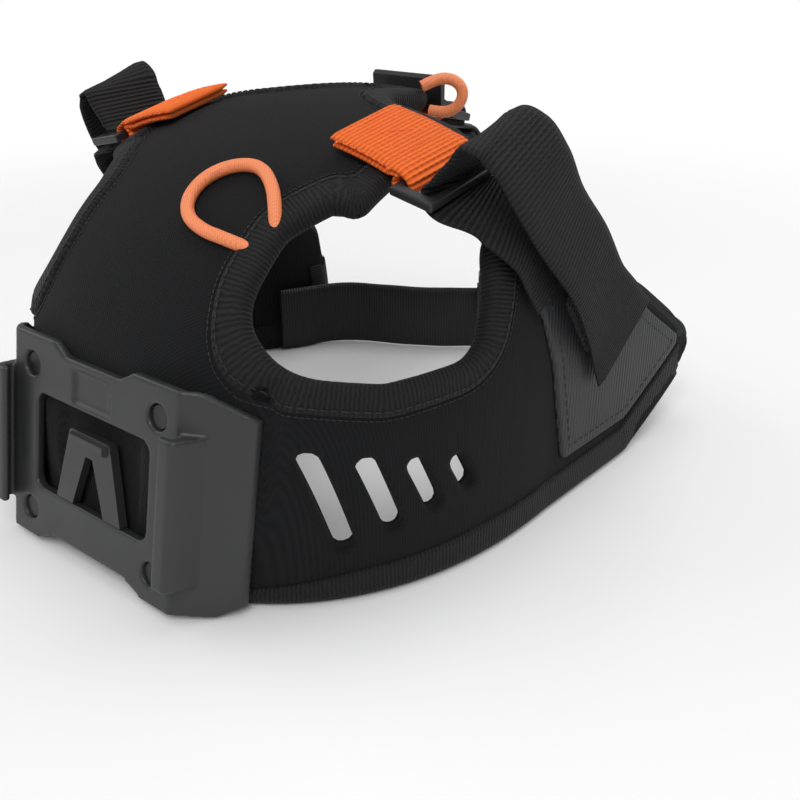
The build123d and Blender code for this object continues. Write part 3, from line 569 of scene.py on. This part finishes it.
def tape(name, border, wanted, *nodes):
    """A stretch of tape between a border line and the outline, rolled round the edge."""
    places, faces = flat_sheet()
    for level in (0.0, -TAPE_STEP / 4, -TAPE_STEP):
        places, faces, field = split(places, faces, border(head_point(places)), level)
    for level in (-TAPE_ROLL, -2.4, -1.5, -0.8, -0.3, -0.06, -0.01):
        places, faces, edge = split(places, faces, edge_distance(head_point(places)), level)
    points = head_point(places)
    field, edge = border(points), edge_distance(points)
    middle = points[faces].mean(axis=1)
    keep = (field[faces] <= 1e-3).all(axis=1) & (edge[faces] <= -0.01 + 1e-3).all(axis=1) & wanted(middle)
    places, faces, used = trimmed(places, faces, keep)
    field, edge, points = field[used], np.minimum(edge[used], 0), points[used]
    rise = quarter_round(field, TAPE_STEP) * BINDING
    turned = np.clip((edge + TAPE_ROLL) / TAPE_ROLL, 0, 1)
    half = (SKIN / 2 + rise) * np.sqrt(np.clip(1 - turned**2, 0, 1))
    round_way = np.column_stack([along_outline(points), edge])
    piece = walled(name, places, faces, SKIN / 2 - half, SKIN / 2 + half, ribbed_tape, uv=round_way)
    return keep_on_harness(piece, "binding", *nodes)


def band_material(name, dark, light, pitch, depth, roughness, cross=2600, **sockets):
    """Tape or webbing whose ribs run across it, with threads along it, on the piece's own map; its colour is
    painted shade, darker between ribs and lighter on their crests.
    """
    made, tree, shader, place = node_material(name, dark, roughness, **sockets)
    ways = add_node(tree, "ShaderNodeSeparateXYZ", place["UV"])
    rib = calculated(tree, "SINE", calculated(tree, "MULTIPLY", ways.outputs["X"], 2 * pi / (pitch * MM)))
    weave = add_node(tree, "ShaderNodeGroup", node_tree=WEAVE, Vector=place["UV"], Along=cross * 1.7,
                     Across=cross, Fuzz=0.5)
    height = calculated(tree, "MULTIPLY_ADD", weave.outputs["Height"], 0.3, rib)
    # Painted shade: rib and thread crests are coloured lighter, and the valleys between them darker.
    tone_with_painted_shade = add_node(tree, "ShaderNodeMapRange", Value=height, From_Min=-1.0, From_Max=1.3)
    two_tone(shader, tone_with_painted_shade.outputs[0], dark, light)
    bumped(shader, height, 0.8, depth * MM)
    return made


ribbed_tape = band_material("ribbed_tape", (0.003, 0.003, 0.0034), (0.013, 0.013, 0.0145), RIB, 0.16, 0.75,
                            Specular_IOR_Level=0.25, Sheen_Weight=0.03)
tape("edge_tape", lambda points: -edge_distance(points) - BINDING_WIDTH,
     lambda middle: is_bound(middle) & ((middle[:, 2] > 34) | (middle[:, 1] > 50)),
     "opening_binding_left", "opening_binding_right", "rear_arm_binding")
tape("hem_tape", lambda points: inside_distance(points[:, 1:], np.array(HEM_BORDER, float)),
     lambda middle: middle[:, 2] < 31, "hem_binding")


def stitch_tree():
    """Short rounded stitches, laid end to end along every line of the mesh."""
    tree, given, result = node_group(
        "stitches", "GeometryNodeTree", {"Geometry": "Geometry", "Pitch": "Float", "Length": "Float",
                                         "Thread": "Float", "Material": "Material"}, {"Geometry": "Geometry"})
    lines = add_node(tree, "GeometryNodeMeshToCurve", given["Geometry"])
    spaced = add_node(tree, "GeometryNodeResampleCurve", mode="LENGTH", Curve=lines.outputs[0],
                      Length=given["Pitch"])
    bead = add_node(tree, "GeometryNodeMeshUVSphere", Segments=6, Rings=5, Radius=1.0)
    tangent = add_node(tree, "GeometryNodeInputTangent")
    turned = add_node(tree, "FunctionNodeAlignRotationToVector", axis="Z", Vector=tangent.outputs[0])
    half = calculated(tree, "MULTIPLY", given["Length"], 0.5)
    size = add_node(tree, "ShaderNodeCombineXYZ", given["Thread"], given["Thread"], half)
    placed = add_node(tree, "GeometryNodeInstanceOnPoints", Points=spaced.outputs[0],
                      Instance=bead.outputs[0], Rotation=turned.outputs[0], Scale=size.outputs[0])
    smooth = add_node(tree, "GeometryNodeSetShadeSmooth", placed.outputs[0])
    solid = add_node(tree, "GeometryNodeRealizeInstances", smooth.outputs[0])
    painted = add_node(tree, "GeometryNodeSetMaterial", solid.outputs[0], Material=given["Material"])
    tree.links.new(painted.outputs[0], result["Geometry"])
    return tree


STITCHES = stitch_tree()


def settled(piece):
    """The piece, with what its modifiers make as its own mesh."""
    seen = bpy.context.evaluated_depsgraph_get()
    piece.data = bpy.data.meshes.new_from_object(piece.evaluated_get(seen))
    piece.modifiers.clear()
    return piece


def stitched(name, lines, pitch, length, thread, material, slot, closed=False):
    """One piece of thread stitches along lines of points in millimetres."""
    points, edges = [], []
    for line in lines:
        count = len(line)
        edges += [(len(points) + k, len(points) + k + 1) for k in range(count - 1)]
        if closed:
            edges.append((len(points) + count - 1, len(points)))
        points += [[value * MM for value in point] for point in line]
    mesh = bpy.data.meshes.new(name)
    mesh.from_pydata(points, edges, [])
    piece = add_object(name, mesh)
    nodes = piece.modifiers.new("stitches", "NODES")
    nodes.node_group = STITCHES
    values = {"Pitch": pitch * MM, "Length": length * MM, "Thread": thread / 2 * MM, "Material": material}
    for item in STITCHES.interface.items_tree:
        if item.in_out == "INPUT" and item.name in values:
            nodes[item.identifier] = values[item.name]
    return keep_on_harness(settled(piece), slot)


def stretches(points, wanted):
    """The runs of a closed line of points that a test keeps."""
    keep = wanted(points)
    runs, run = [], []
    for point, kept in zip(points, keep):
        if kept:
            run.append(point)
            continue
        if len(run) > 3:
            runs.append(run)
        run = []
    return runs + ([run] if len(run) > 3 else [])


thread = cloth_material("black_thread", (0.004, 0.004, 0.0045), (0.014, 0.014, 0.016), 9000, 9000, 0.0001,
                        0.6)
for name, level, height, pitch, length, width in (
    ("tape_stitches", -BINDING_WIDTH + 1.3, -BINDING - 0.1, 2.6, 2.2, 0.42),
    ("seam_stitches", -BINDING_WIDTH - 0.9, -0.1, 1.5, 1.35, 0.4),
):
    line = from_join(pressed(head_point(contour(level), height)))
    runs = stretches(line, lambda points: is_bound(points) & (points[:, 2] > 36))
    stitched(name, runs, pitch, length, width, thread, "binding")


# ---- Wing patches and hook pads ----
# A coated fabric patch is sewn on each wing with one line of stitches inside its turned edge. The
# hook fastener that grips the side strap's end is sewn on the patch.
PATCH, HOOK, PATCH_ROUND = 1.5, 1.5, 1.0
HEM_SIDE, HEM_END = 13.5, 78.0
PATCH_OUTLINE = rounded(
    [(-15, 78), (-2, 47), (6, HEM_SIDE + 1.5), (HEM_LIFT - 5, HEM_SIDE + 1.5), (HEM_END - 2, HEM_SIDE + 18),
     (52, 47), (2, 83)], [3] * 7)
HOOK_OUTLINE = rounded([(13, 46), (46, 46.5), (22, 72), (-1, 66)], [3] * 4)


def patch_distance(points, outline, side):
    """Signed distance to a patch's edge, which also keeps 3 mm inside the shell's outline."""
    own = inside_distance(points[:, 1:], outline)
    away = np.where(points[:, 0] * side > 20, -100, 100)
    return np.maximum.reduce([own, edge_distance(points) + 3, away])


def patch_piece(name, outline, side, low, high, material, slot, node):
    """A flat piece between two heights above the shell, with a rounded edge."""
    places, faces, field = cut_out(
        *flat_sheet(), lambda points: patch_distance(points, outline, side),
        (-PATCH_ROUND, -PATCH_ROUND / 2, -PATCH_ROUND / 6, 0.0))
    rise = low + (high - low) * (0.35 + 0.65 * quarter_round(field, PATCH_ROUND))
    piece = walled(name, places, faces, -rise, -low, material, uv=head_point(places)[:, 1:], press=False)
    return keep_on_harness(piece, slot, node)


coated = cloth_material("coated_fabric", (0.01, 0.0104, 0.0115), (0.022, 0.0227, 0.025), 4000, 4000, 0.00012,
                        0.55, Specular_IOR_Level=0.4)
hooks = cloth_material("hook_tape", (0.006, 0.006, 0.007), (0.03, 0.03, 0.034), 5200, 5200, 0.0005, 0.9,
                       fuzz=1.2)
PATCH_STITCH = -3.6  # from the patch's edge
for side, word in ((1, "left"), (-1, "right")):
    patch_piece(f"coated_patch_{word}", PATCH_OUTLINE, side, 0.05, PATCH, coated, "patch",
                f"wing_patch_{word}")
    patch_piece(f"hook_pad_{word}_tape", HOOK_OUTLINE, side, PATCH, PATCH + HOOK, hooks, "hook",
                f"hook_pad_{word}")
    places, faces = flat_sheet()
    field = patch_distance(head_point(places), PATCH_OUTLINE, side)
    places, faces, field = cut_along(places, faces, field, PATCH_STITCH)
    stitched(f"patch_stitches_{word}", [head_point(places[rim_loops(faces)[-1]], -PATCH)], 3.1, 2.3, 0.45,
             thread, "patch", closed=True)


# ---- Side straps ----
# Coarse 25 mm webbing is sewn to each wing, runs up through the loop, folds over its bar and comes
# down outside. Its wider end grips the hook pad.
WEBBING, STRAP = 25.0, 1.7
CROWN_TAB_MIDDLE, WEB, BAR, PLAY, SWING, LOOP_REACH, LOOP_TILT = -21.5, 1.6, 2.4, 0.3, 4.0, 10.4, 8.0
TAB_HOLE = BAR / 2 * 1.25 + PLAY
TAB_FOLD = TAB_HOLE + WEB
STRAP_HOLE = BAR / 2 * 1.25 + LOOP_REACH * sin(radians(SWING)) + PLAY
FOLD_RADIUS = STRAP_HOLE + STRAP / 2


def crown_z(x, y, inset=0.0):
    """Height of the head form above a place in plan."""
    low, high = 0.0, CROWN_HEIGHT - inset - 0.01
    while high - low > 0.001:
        middle = (low + high) / 2
        across, along, square = half_axes(middle, inset, y > 0)
        inside = (abs(x) / across) ** square + (abs(y) / along) ** square < 1
        low, high = (middle, high) if inside else (low, middle)
    return low


def crown_slopes(x, y):
    """How steeply the head form rises along x and along y."""
    return (crown_z(x + 1, y) - crown_z(x - 1, y)) / 2, (crown_z(x, y + 1) - crown_z(x, y - 1)) / 2


def side_x(y, height, side):
    """Where the left or the right side stands at a place along it."""
    across, along, square = half_axes(height, 0.0, y > 0)
    return splayed(side * across * max(1 - (abs(y) / along) ** square, 0) ** (1 / square), y, height)


def unit(vector):
    """A vector of length one."""
    return np.array(vector, float) / np.linalg.norm(vector)


rise_x, rise_y = crown_slopes(ARM_END, CROWN_TAB_MIDDLE)
arm_x, arm_z = unit((1, 0, rise_x)), unit((-rise_x, -rise_y, 1))
arm_y = np.cross(arm_z, arm_x)
arm_spot = np.array([ARM_END, CROWN_TAB_MIDDLE, crown_z(ARM_END, CROWN_TAB_MIDDLE)])
TAB_BAR = arm_spot + arm_x * (TAB_FOLD + 1.3) + arm_z * (BINDING + 2 * WEB - TAB_FOLD)
tilt = radians(-LOOP_TILT)
loop_x = arm_x * cos(tilt) - arm_z * sin(tilt)
STRAP_BAR = TAB_BAR + loop_x * LOOP_REACH


def smooth_run(stations, step):
    """Middles, ways across and widths at even steps of a smooth line through the stations."""
    middles = np.array([point for point, across, width in stations], float)
    across = np.array([unit(way) for point, way, width in stations])
    widths = np.array([width for point, across, width in stations], float)
    values = np.column_stack([middles, across, widths])
    knots = walk(middles)
    slopes = np.gradient(values, knots, axis=0)
    at = np.linspace(0, knots[-1], int(knots[-1] / step))
    index = np.clip(np.searchsorted(knots, at, side="right") - 1, 0, len(knots) - 2)
    gap = (knots[index + 1] - knots[index])[:, None]
    share = ((at - knots[index]) / gap[:, 0])[:, None]
    before = (2 * share**3 - 3 * share**2 + 1) * values[index]
    leaving = (share**3 - 2 * share**2 + share) * gap * slopes[index]
    after = (3 * share**2 - 2 * share**3) * values[index + 1]
    smooth = before + leaving + after + (share**3 - share**2) * gap * slopes[index + 1]
    return smooth[:, :3], smooth[:, 3:6], smooth[:, 6]


def band(name, stations, thickness, material, rib=0.0, rib_pitch=1.9, wave=None, step=0.8):
    """A flat woven band through stations, with a rounded edge, cross ribs and an even map."""
    middles, across, widths = smooth_run(stations, step)
    tangents = np.gradient(middles, axis=0)
    tangents /= np.linalg.norm(tangents, axis=1)[:, None]
    across = across - tangents * (across * tangents).sum(axis=1)[:, None]
    across /= np.linalg.norm(across, axis=1)[:, None]
    normals = np.cross(tangents, across)
    half_ring = 13
    round_way = np.concatenate([np.linspace(-1, 1, half_ring), np.linspace(1, -1, half_ring)])
    face = np.repeat([1, -1], half_ring)
    edge_fall = np.sqrt(np.clip(1 - np.abs(round_way) ** 10, 0.0, 1))
    points, map_points = [], []
    for middle, way, width, normal, at in zip(middles, across, widths, normals, walk(middles)):
        high = thickness / 2 * (0.35 + 0.65 * edge_fall) + rib * np.sin(2 * pi * at / rib_pitch) * edge_fall
        bend = np.broadcast_to(0 if wave is None else wave(at, round_way), round_way.shape)
        for u, side, h, b in zip(round_way, face, high, bend):
            points.append(middle + way * u * width / 2 + normal * (side * h + b))
            map_points.append((at, u * width / 2 + side * 40))
    ring = 2 * half_ring
    faces = []
    for k in range(len(middles) - 1):
        for j in range(ring):
            a, b = k * ring + j, k * ring + (j + 1) % ring
            faces.append((a, b, b + ring, a + ring))
    last = (len(middles) - 1) * ring
    ends = [(j, j + 1, ring - 2 - j, ring - 1 - j) for j in range(half_ring - 1)]
    faces += [end[::-1] for end in ends] + [tuple(last + corner for corner in end) for end in ends]
    return faced_outward(new_piece(name, points, faces, material, uv=map_points))


def folded(bar, radius, angles, out, up, across, width):
    """Stations of a strap that turns round a bar."""
    turns = [(cos(radians(angle)), sin(radians(angle))) for angle in angles]
    return [(bar + radius * (np.array(out) * c + np.array(up) * s), across, width) for c, s in turns]


def strap_stations(side):
    """The side strap from its sewn end on the wing, through the loop and down to the hook pad."""
    wall = PATCH + HOOK + STRAP / 2 + 0.2
    under_wall = PATCH + STRAP / 2 + 0.2

    def by_wall(y, height, out, lean, width=WEBBING, turn=None):
        rise = tan(radians(lean))
        step = side_x(y + 5, height + 5 * rise, side) - side_x(y - 5, height - 5 * rise, side)
        turn = step / 10 if turn is None else side * turn
        return (side_x(y, height, side) + side * out, y, height), (turn, 1, rise), width

    def by_bar(out, back, up, lean):
        middle = STRAP_BAR + (out, back, up)
        return (side * middle[0], middle[1], middle[2]), (0, cos(radians(lean)), sin(radians(lean))), WEBBING

    fold = folded(STRAP_BAR * (side, 1, 1), FOLD_RADIUS, range(236, 135, -20), (side, 0, 0), (0, 0, 1),
                  arm_y * (side, 1, 1), WEBBING)
    under = [by_wall(-4, 73, under_wall, 32), by_wall(-8, 79, under_wall + 0.3, 32)]
    under += [by_wall(-13, 86, under_wall + 2.4, 25), by_bar(7.5, 2.5, -5.5, 18)]
    crest = [by_bar(1.8, 0, 8.5, 14), by_bar(4.6, 0.2, 12.0, 15), by_bar(8.4, 0.8, 12.8, 18)]
    crest += [by_bar(12.9, 2.2, 10.2, 22), by_bar(16.9, 6.0, 2.4, 28)]
    outer = [by_wall(-8, 89, 12.0, 30, turn=-0.1), by_wall(2, 77, 8.7, 31, turn=-0.12)]
    outer += [by_wall(14, 62, 6.3, 28, turn=-0.05), by_wall(24, 52, wall + 0.7, 15, WEBBING + 3)]
    outer += [by_wall(30, 45.5, wall + 0.2, 3, WEBBING + 6)]
    return under + fold + crest + outer


STRAP_RIB = 1.25  # from one rib of the webbing to the next
webbing = band_material("coarse_webbing", (0.0025, 0.0025, 0.003), (0.016, 0.016, 0.018), STRAP_RIB, 0.22,
                        0.75, Specular_IOR_Level=0.3)
for side, word in ((1, "left"), (-1, "right")):
    strap = band(f"webbing_strap_{word}", strap_stations(side), STRAP, webbing, rib=0.07, rib_pitch=STRAP_RIB,
                 step=0.35)
    keep_on_harness(strap, "strap_webbing", f"side_strap_{word}")


# ---- Crown tabs ----
# Orange webbing is folded round the inner bar of each loop and lies doubled on the side arm. A boxed
# cross of orange thread holds it down.
TAB_START = 31.0
TAB_RIB = 1.3


def mirrored(points, side):
    """The points for the left side, or the same ones for the right."""
    return [(side * x, y, z) for x, y, z in points]


def on_arm(x, y, height):
    """A point a set height above the crown at a place in plan."""
    slope_x, slope_y = crown_slopes(x, y)
    return np.array([x, y, crown_z(x, y)]) + height * unit((-slope_x, -slope_y, 1))


orange = band_material("orange_webbing", (0.78, 0.1, 0.012), (1.0, 0.21, 0.035), TAB_RIB, 0.3, 0.7,
                       cross=3000, Specular_IOR_Level=0.25)
orange_thread = cloth_material("orange_thread", (0.75, 0.09, 0.015), (0.95, 0.19, 0.04), 9000, 9000, 0.0001,
                               0.6)
BOX = [(33, -10), (33, -33), (48, -33), (48, -10)]  # corners of the stitched box, in plan
box_lines = [(BOX[0], BOX[1]), (BOX[1], BOX[2]), (BOX[2], BOX[3]), (BOX[3], BOX[0]), (BOX[0], BOX[2]),
             (BOX[1], BOX[3])]
for side, word in ((1, "left"), (-1, "right")):
    spots = np.linspace(TAB_START, ARM_END - 1, 6)
    above, below = BINDING + 1.5 * WEB + 0.1, BINDING + 0.5 * WEB
    stations = [(on_arm(x, CROWN_TAB_MIDDLE, above), arm_y, WEBBING) for x in spots]
    stations += folded(TAB_BAR, TAB_HOLE + WEB / 2, range(80, -250, -30), arm_x, arm_z, arm_y, WEBBING)
    stations += [(on_arm(x + 0.8, CROWN_TAB_MIDDLE, below), arm_y, WEBBING) for x in spots[::-1]]
    stations = [(*mirrored([point, way], side), width) for point, way, width in stations]
    tab = band(f"orange_tab_{word}", stations, WEB, orange, rib=0.12, rib_pitch=TAB_RIB, step=0.5)
    keep_on_harness(tab, "orange_webbing", f"crown_tab_{word}")
    lines = []
    for start, end in box_lines:
        line = [on_arm(start[0] + (end[0] - start[0]) * k, start[1] + (end[1] - start[1]) * k,
                       BINDING + 2 * WEB + 0.15) for k in np.linspace(0, 1, 12)]
        lines.append(mirrored(line, side))
    stitched(f"tab_stitches_{word}", lines, 2.2, 1.9, 0.5, orange_thread, "orange_webbing")


# ---- Nape strap, clip and rear strap ----
# Satin elastic joins the two wings round the nape. A doubled, tapering strap drops to it from the
# rear buckle, and a small clip over its upper edge holds the two together.
NAPE_STRAP, STRAP_GAP = 25.0, 0.7
NAPE_MIDDLE = NAPE_STRAP / 2 + 0.5
elastic = band_material("satin_elastic", (0.007, 0.007, 0.008), (0.022, 0.022, 0.025), 1.1, 0.1, 0.5,
                        cross=3400, Specular_IOR_Level=0.4, Sheen_Weight=0.05)


def inside_wing(y, way):
    """Middle of the nape strap where it lies on a wing's lining."""
    inset = SKIN + BINDING + STRAP / 2 + STRAP_GAP
    across, along = HEAD_HALF_WIDTH - inset, HEAD_REAR - inset
    x = way * across * (1 - (y / along) ** REAR_SQUARE) ** (1 / REAR_SQUARE)
    return splayed(x, y, 0), y, NAPE_MIDDLE


nape_route = [inside_wing(y, -1) for y in (40, 48, 56)]
nape_route += [(x, y, NAPE_MIDDLE) for x, y in (
    (-50, 65), (-37, 71.5), (-21, 80), (-9, 89), (3, 97), (20, 103), (38, 105.2), (52, 102.5), (64, 96.5),
)]
nape_route += [inside_wing(y, 1) for y in (86, 76, 66, 56)]


def soft_folds(at, across):
    """Shallow waves of slack elastic, which are less deep towards the strap's two edges."""
    return 0.35 * np.sin(at / 7.5) * np.cos(across * 1.4) + 0.15 * np.sin(at / 3.1 + across * 2)


nape_stations = [(point, (0, 0, 1), NAPE_STRAP) for point in nape_route]
nape = band("elastic_nape_strap", nape_stations, STRAP, elastic, wave=soft_folds)
keep_on_harness(nape, "elastic", "nape_strap")

REAR_WEB, REAR_DROP = 20.0, radians(18.0)
under_arm = crown_z(0, REAR_ARM_END, SKIN + BINDING) - WEB
REAR_BAR = np.array([0, REAR_ARM_END + 7.0, under_arm + 2.2])
rear_strap_bar = REAR_BAR + LOOP_REACH * np.array([0, cos(REAR_DROP), -sin(REAR_DROP)])
clip_along = unit((12, 8, 0))
clip_across = np.array([-clip_along[1], clip_along[0], 0])
CLIP_SPOT = np.array([-3.0, 93.0, NAPE_STRAP + 0.5])
CLIP_WALL, EYE = 1.5, 3.6
stations = folded(rear_strap_bar, FOLD_RADIUS, range(130, -41, -17), (0, 1, 0), (0, 0, 1), (1, 0, 0),
                  REAR_WEB)
foot = CLIP_SPOT + (0, 0, CLIP_WALL + 2 * EYE)
fall = [((0, 61, 93), (1, 0, 0), REAR_WEB), ((0, 71, 83), (1, -0.1, 0), REAR_WEB - 2),
        ((-0.5, 80, 70), (1, -0.4, 0), REAR_WEB - 5), ((-1.5, 87, 56), (1, -0.9, 0), REAR_WEB - 8),
        ((-2.5, 91.5, 43), -clip_across, REAR_WEB - 10), (foot, -clip_across, REAR_WEB - 10)]
PLY_SHIFT = 0.684  # of each of the doubled strap's plies from their shared middle, along y and along z
for name, shift in (("rear_strap_outer", PLY_SHIFT), ("rear_strap_inner", -PLY_SHIFT)):
    leg = [(np.array(point) + (0, shift, shift), way, width) for point, way, width in fall]
    rear = band(name, (stations if shift > 0 else []) + leg, STRAP, elastic, rib=0.08, rib_pitch=1.6)
    keep_on_harness(rear, "elastic", *(["rear_strap"] if shift > 0 else []))


# ---- Rear tab ----
# The same orange webbing, a little narrower, is sewn under the rear arm and folded round the rear
# buckle's bar.
tab_stations = [((0, REAR_ARM_END - y, under_arm + 0.8), (1, 0, 0), REAR_WEB) for y in (18, 9, 0)]
tab_stations += folded(REAR_BAR, TAB_HOLE + WEB / 2, range(-80, 240, 30), (0, 1, 0), (0, 0, 1), (1, 0, 0),
                       REAR_WEB)
rear_tab = band("orange_rear_tab", tab_stations, WEB, orange, rib=0.12, rib_pitch=TAB_RIB, step=0.5)
keep_on_harness(rear_tab, "orange_webbing", "rear_tab")


# ---- Rear elastic loop ----
# A short stiff bight of the same cord, which guides the cable towards the back of the head. Its two
# ends are sewn into the rear arm's edge.
REAR_LOOP = [
    (13.0, 27.0, 111.0), (16.0, 30.5, 113.2), (19.8, 33.2, 113.2), (22.6, 34.6, 110.8), (22.8, 34.6, 107.2),
    (20.4, 33.8, 104.2), (16.8, 32.6, 103.0), (13.0, 31.0, 103.6),
]
rear_loop = elastic_loop("rear_elastic_loop", REAR_LOOP)
keep_on_harness(rear_loop, "orange_cord", "rear_cord_loop")


# ---- Forehead pad ----
# A soft foam pad with a plump, rounded edge lies inside the brow. It covers the backing plate and the
# rivets' inner ends.
BACKING, NUT, PAD, PAD_HALF, PAD_ROUND = 1.0, 1.0, 5.0, 38.0, 5.0
PAD_OUTLINE = rounded([(-PAD_HALF, 5.5), (PAD_HALF, 5.5), (PAD_HALF, 52), (-PAD_HALF, 52)], [6] * 4)
places, faces = flat_sheet()
places, faces, used = trimmed(places, faces, (head_point(places)[faces][:, :, 1] < -40).all(axis=1))
places, faces, field = cut_out(places, faces, lambda points: inside_distance(points[:, [0, 2]], PAD_OUTLINE),
                               (-PAD_ROUND, -2.5, -1.0, -0.3, 0.0))
start = SKIN + BACKING + NUT + 0.2
plump = start + (PAD - NUT) * (0.25 + 0.75 * quarter_round(field, PAD_ROUND))
pad = walled("foam_pad", places, faces, start, plump, jersey, press=False)
keep_on_harness(pad, "pad_foam", "forehead_pad")


# ---- Moulded plastic and rivets ----
# The plate and its sprung tongue are satin grey nylon. The loops, buckle and clip are black acetal,
# the backing plate is dark plastic, and the rivets are blackened steel.
def moulded(name, color, roughness, **sockets):
    """A fine moulded grain, and broad patches that are slightly paler and less smooth."""
    made, tree, shader, place = node_material(name, color, roughness, **sockets)
    fine = add_node(tree, "ShaderNodeTexNoise", Vector=place["Object"], Scale=2700.0, Detail=4.0)
    broad = add_node(tree, "ShaderNodeTexNoise", Vector=place["Object"], Scale=60.0, Detail=5.0).outputs[0]
    spread = add_node(tree, "ShaderNodeMapRange", Value=broad, From_Min=0.3, From_Max=0.75,
                      To_Min=roughness - 0.07, To_Max=roughness + 0.1)
    tree.links.new(spread.outputs[0], shader.inputs["Roughness"])
    two_tone(shader, broad, [value * 0.85 for value in color], [value * 1.35 for value in color])
    bumped(shader, fine.outputs[0], 0.5, 0.00004)
    return made


def add_modifier(piece, name, kind, **values):
    """A modifier on a piece, with its values set."""
    made = piece.modifiers.new(name, kind)
    for key, value in values.items():
        setattr(made, key, value)


grey_nylon = moulded("grey_nylon", (0.021, 0.0215, 0.0225), 0.4)
black_acetal = moulded("black_acetal", (0.012, 0.012, 0.013), 0.4)
backing_plastic = moulded("backing_plastic", (0.03, 0.03, 0.032), 0.5)
black_steel = moulded("blackened_steel", (0.05, 0.05, 0.053), 0.35, Metallic=1.0)
for material, bevel, nodes in (
    (grey_nylon, 0.5, ("mounting_plate", "latch_tongue")), (black_steel, 0.3, ("plate_rivets",)),
    (black_acetal, 0.4, ("rear_buckle", "nape_clip")), (backing_plastic, 0.2, ("backing_plate",)),
    (black_acetal, 0.0, ("strap_loop_left", "strap_loop_right")),
):
    for node in nodes:
        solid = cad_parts[node]
        for place in solid.material_slots:
            place.material = material
        if bevel:
            add_modifier(solid, "joined", "WELD", merge_threshold=0.02 * MM)
            add_modifier(solid, "rounded_edge", "BEVEL", width=bevel * MM, segments=3, limit_method="ANGLE",
                         angle_limit=radians(28))


# The plate is remade on an even grid and smoothed, so that its edges and rail lips are soft.
plate = add_object("moulded_plate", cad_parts["mounting_plate"].data.copy())
add_modifier(plate, "even", "REMESH", mode="VOXEL", voxel_size=0.45 * MM, use_smooth_shade=True)
add_modifier(plate, "soft", "SMOOTH", factor=0.5, iterations=9)
settled(plate)
plate.data.materials.clear()
plate.data.materials.append(grey_nylon)
keep_on_harness(plate, "plate_plastic", "mounting_plate")


# ---- Studio ----
# A pale table and four soft lamps. The surroundings are white to the camera and through clear pieces,
# and dim to every other ray.
def studio_floor():
    """A large pale plane under the hem, which turns plain white to the camera away from the harness."""
    mesh = bpy.data.meshes.new("table_top")
    mesh.from_pydata([(-4, -4, 0), (4, -4, 0), (4, 4, 0), (-4, 4, 0)], [], [(0, 1, 2, 3)])
    floor = add_object("table_top", mesh)
    pale, tree, shader, place = node_material("pale_table", (0.9, 0.9, 0.9), 0.7, Specular_IOR_Level=0.1)
    apart = add_node(tree, "ShaderNodeVectorMath", place["Object"], operation="LENGTH")
    away = add_node(tree, "ShaderNodeMapRange", Value=apart.outputs["Value"], From_Min=0.22, From_Max=0.6,
                    interpolation_type="SMOOTHSTEP")
    rays = add_node(tree, "ShaderNodeLightPath")
    share = calculated(tree, "MULTIPLY", away.outputs[0], rays.outputs["Is Camera Ray"])
    white = add_node(tree, "ShaderNodeEmission")
    mix = add_node(tree, "ShaderNodeMixShader", share, shader.outputs[0], white.outputs[0])
    tree.links.new(mix.outputs[0], tree.nodes["Material Output"].inputs["Surface"])
    mesh.materials.append(pale)


studio_floor()
for name, place, size, power in (
    ("key_lamp", (0.5, -0.7, 0.9), 0.8, 7.5), ("fill_lamp", (-0.9, -0.4, 0.6), 1.0, 3.2),
    ("top_lamp", (0.0, 0.3, 1.2), 1.0, 4.2), ("rear_lamp", (0.3, 0.9, 0.7), 0.8, 3.0),
):
    lamp = bpy.data.lights.new(name, "AREA")
    lamp.shape = "DISK"
    lamp.size = size
    lamp.energy = power
    holder = add_object(name, lamp)
    holder.location = place
    holder.rotation_mode = "QUATERNION"
    holder.rotation_quaternion = (Vector((0, 0, 0.06)) - Vector(place)).to_track_quat("-Z", "Y")

world = bpy.data.worlds.new("studio")
scene.world = world
world.use_nodes = True
tree = world.node_tree
surround = tree.nodes["Background"]
rays = add_node(tree, "ShaderNodeLightPath").outputs
seen = calculated(tree, "MAXIMUM", rays["Is Camera Ray"], rays["Is Transmission Ray"])
bright = add_node(tree, "ShaderNodeMapRange", Value=seen, To_Min=0.32, To_Max=1.0)
tree.links.new(bright.outputs[0], surround.inputs["Strength"])
surround.inputs["Color"].default_value = (1, 1, 1, 1)
scene.view_settings.view_transform = "Standard"
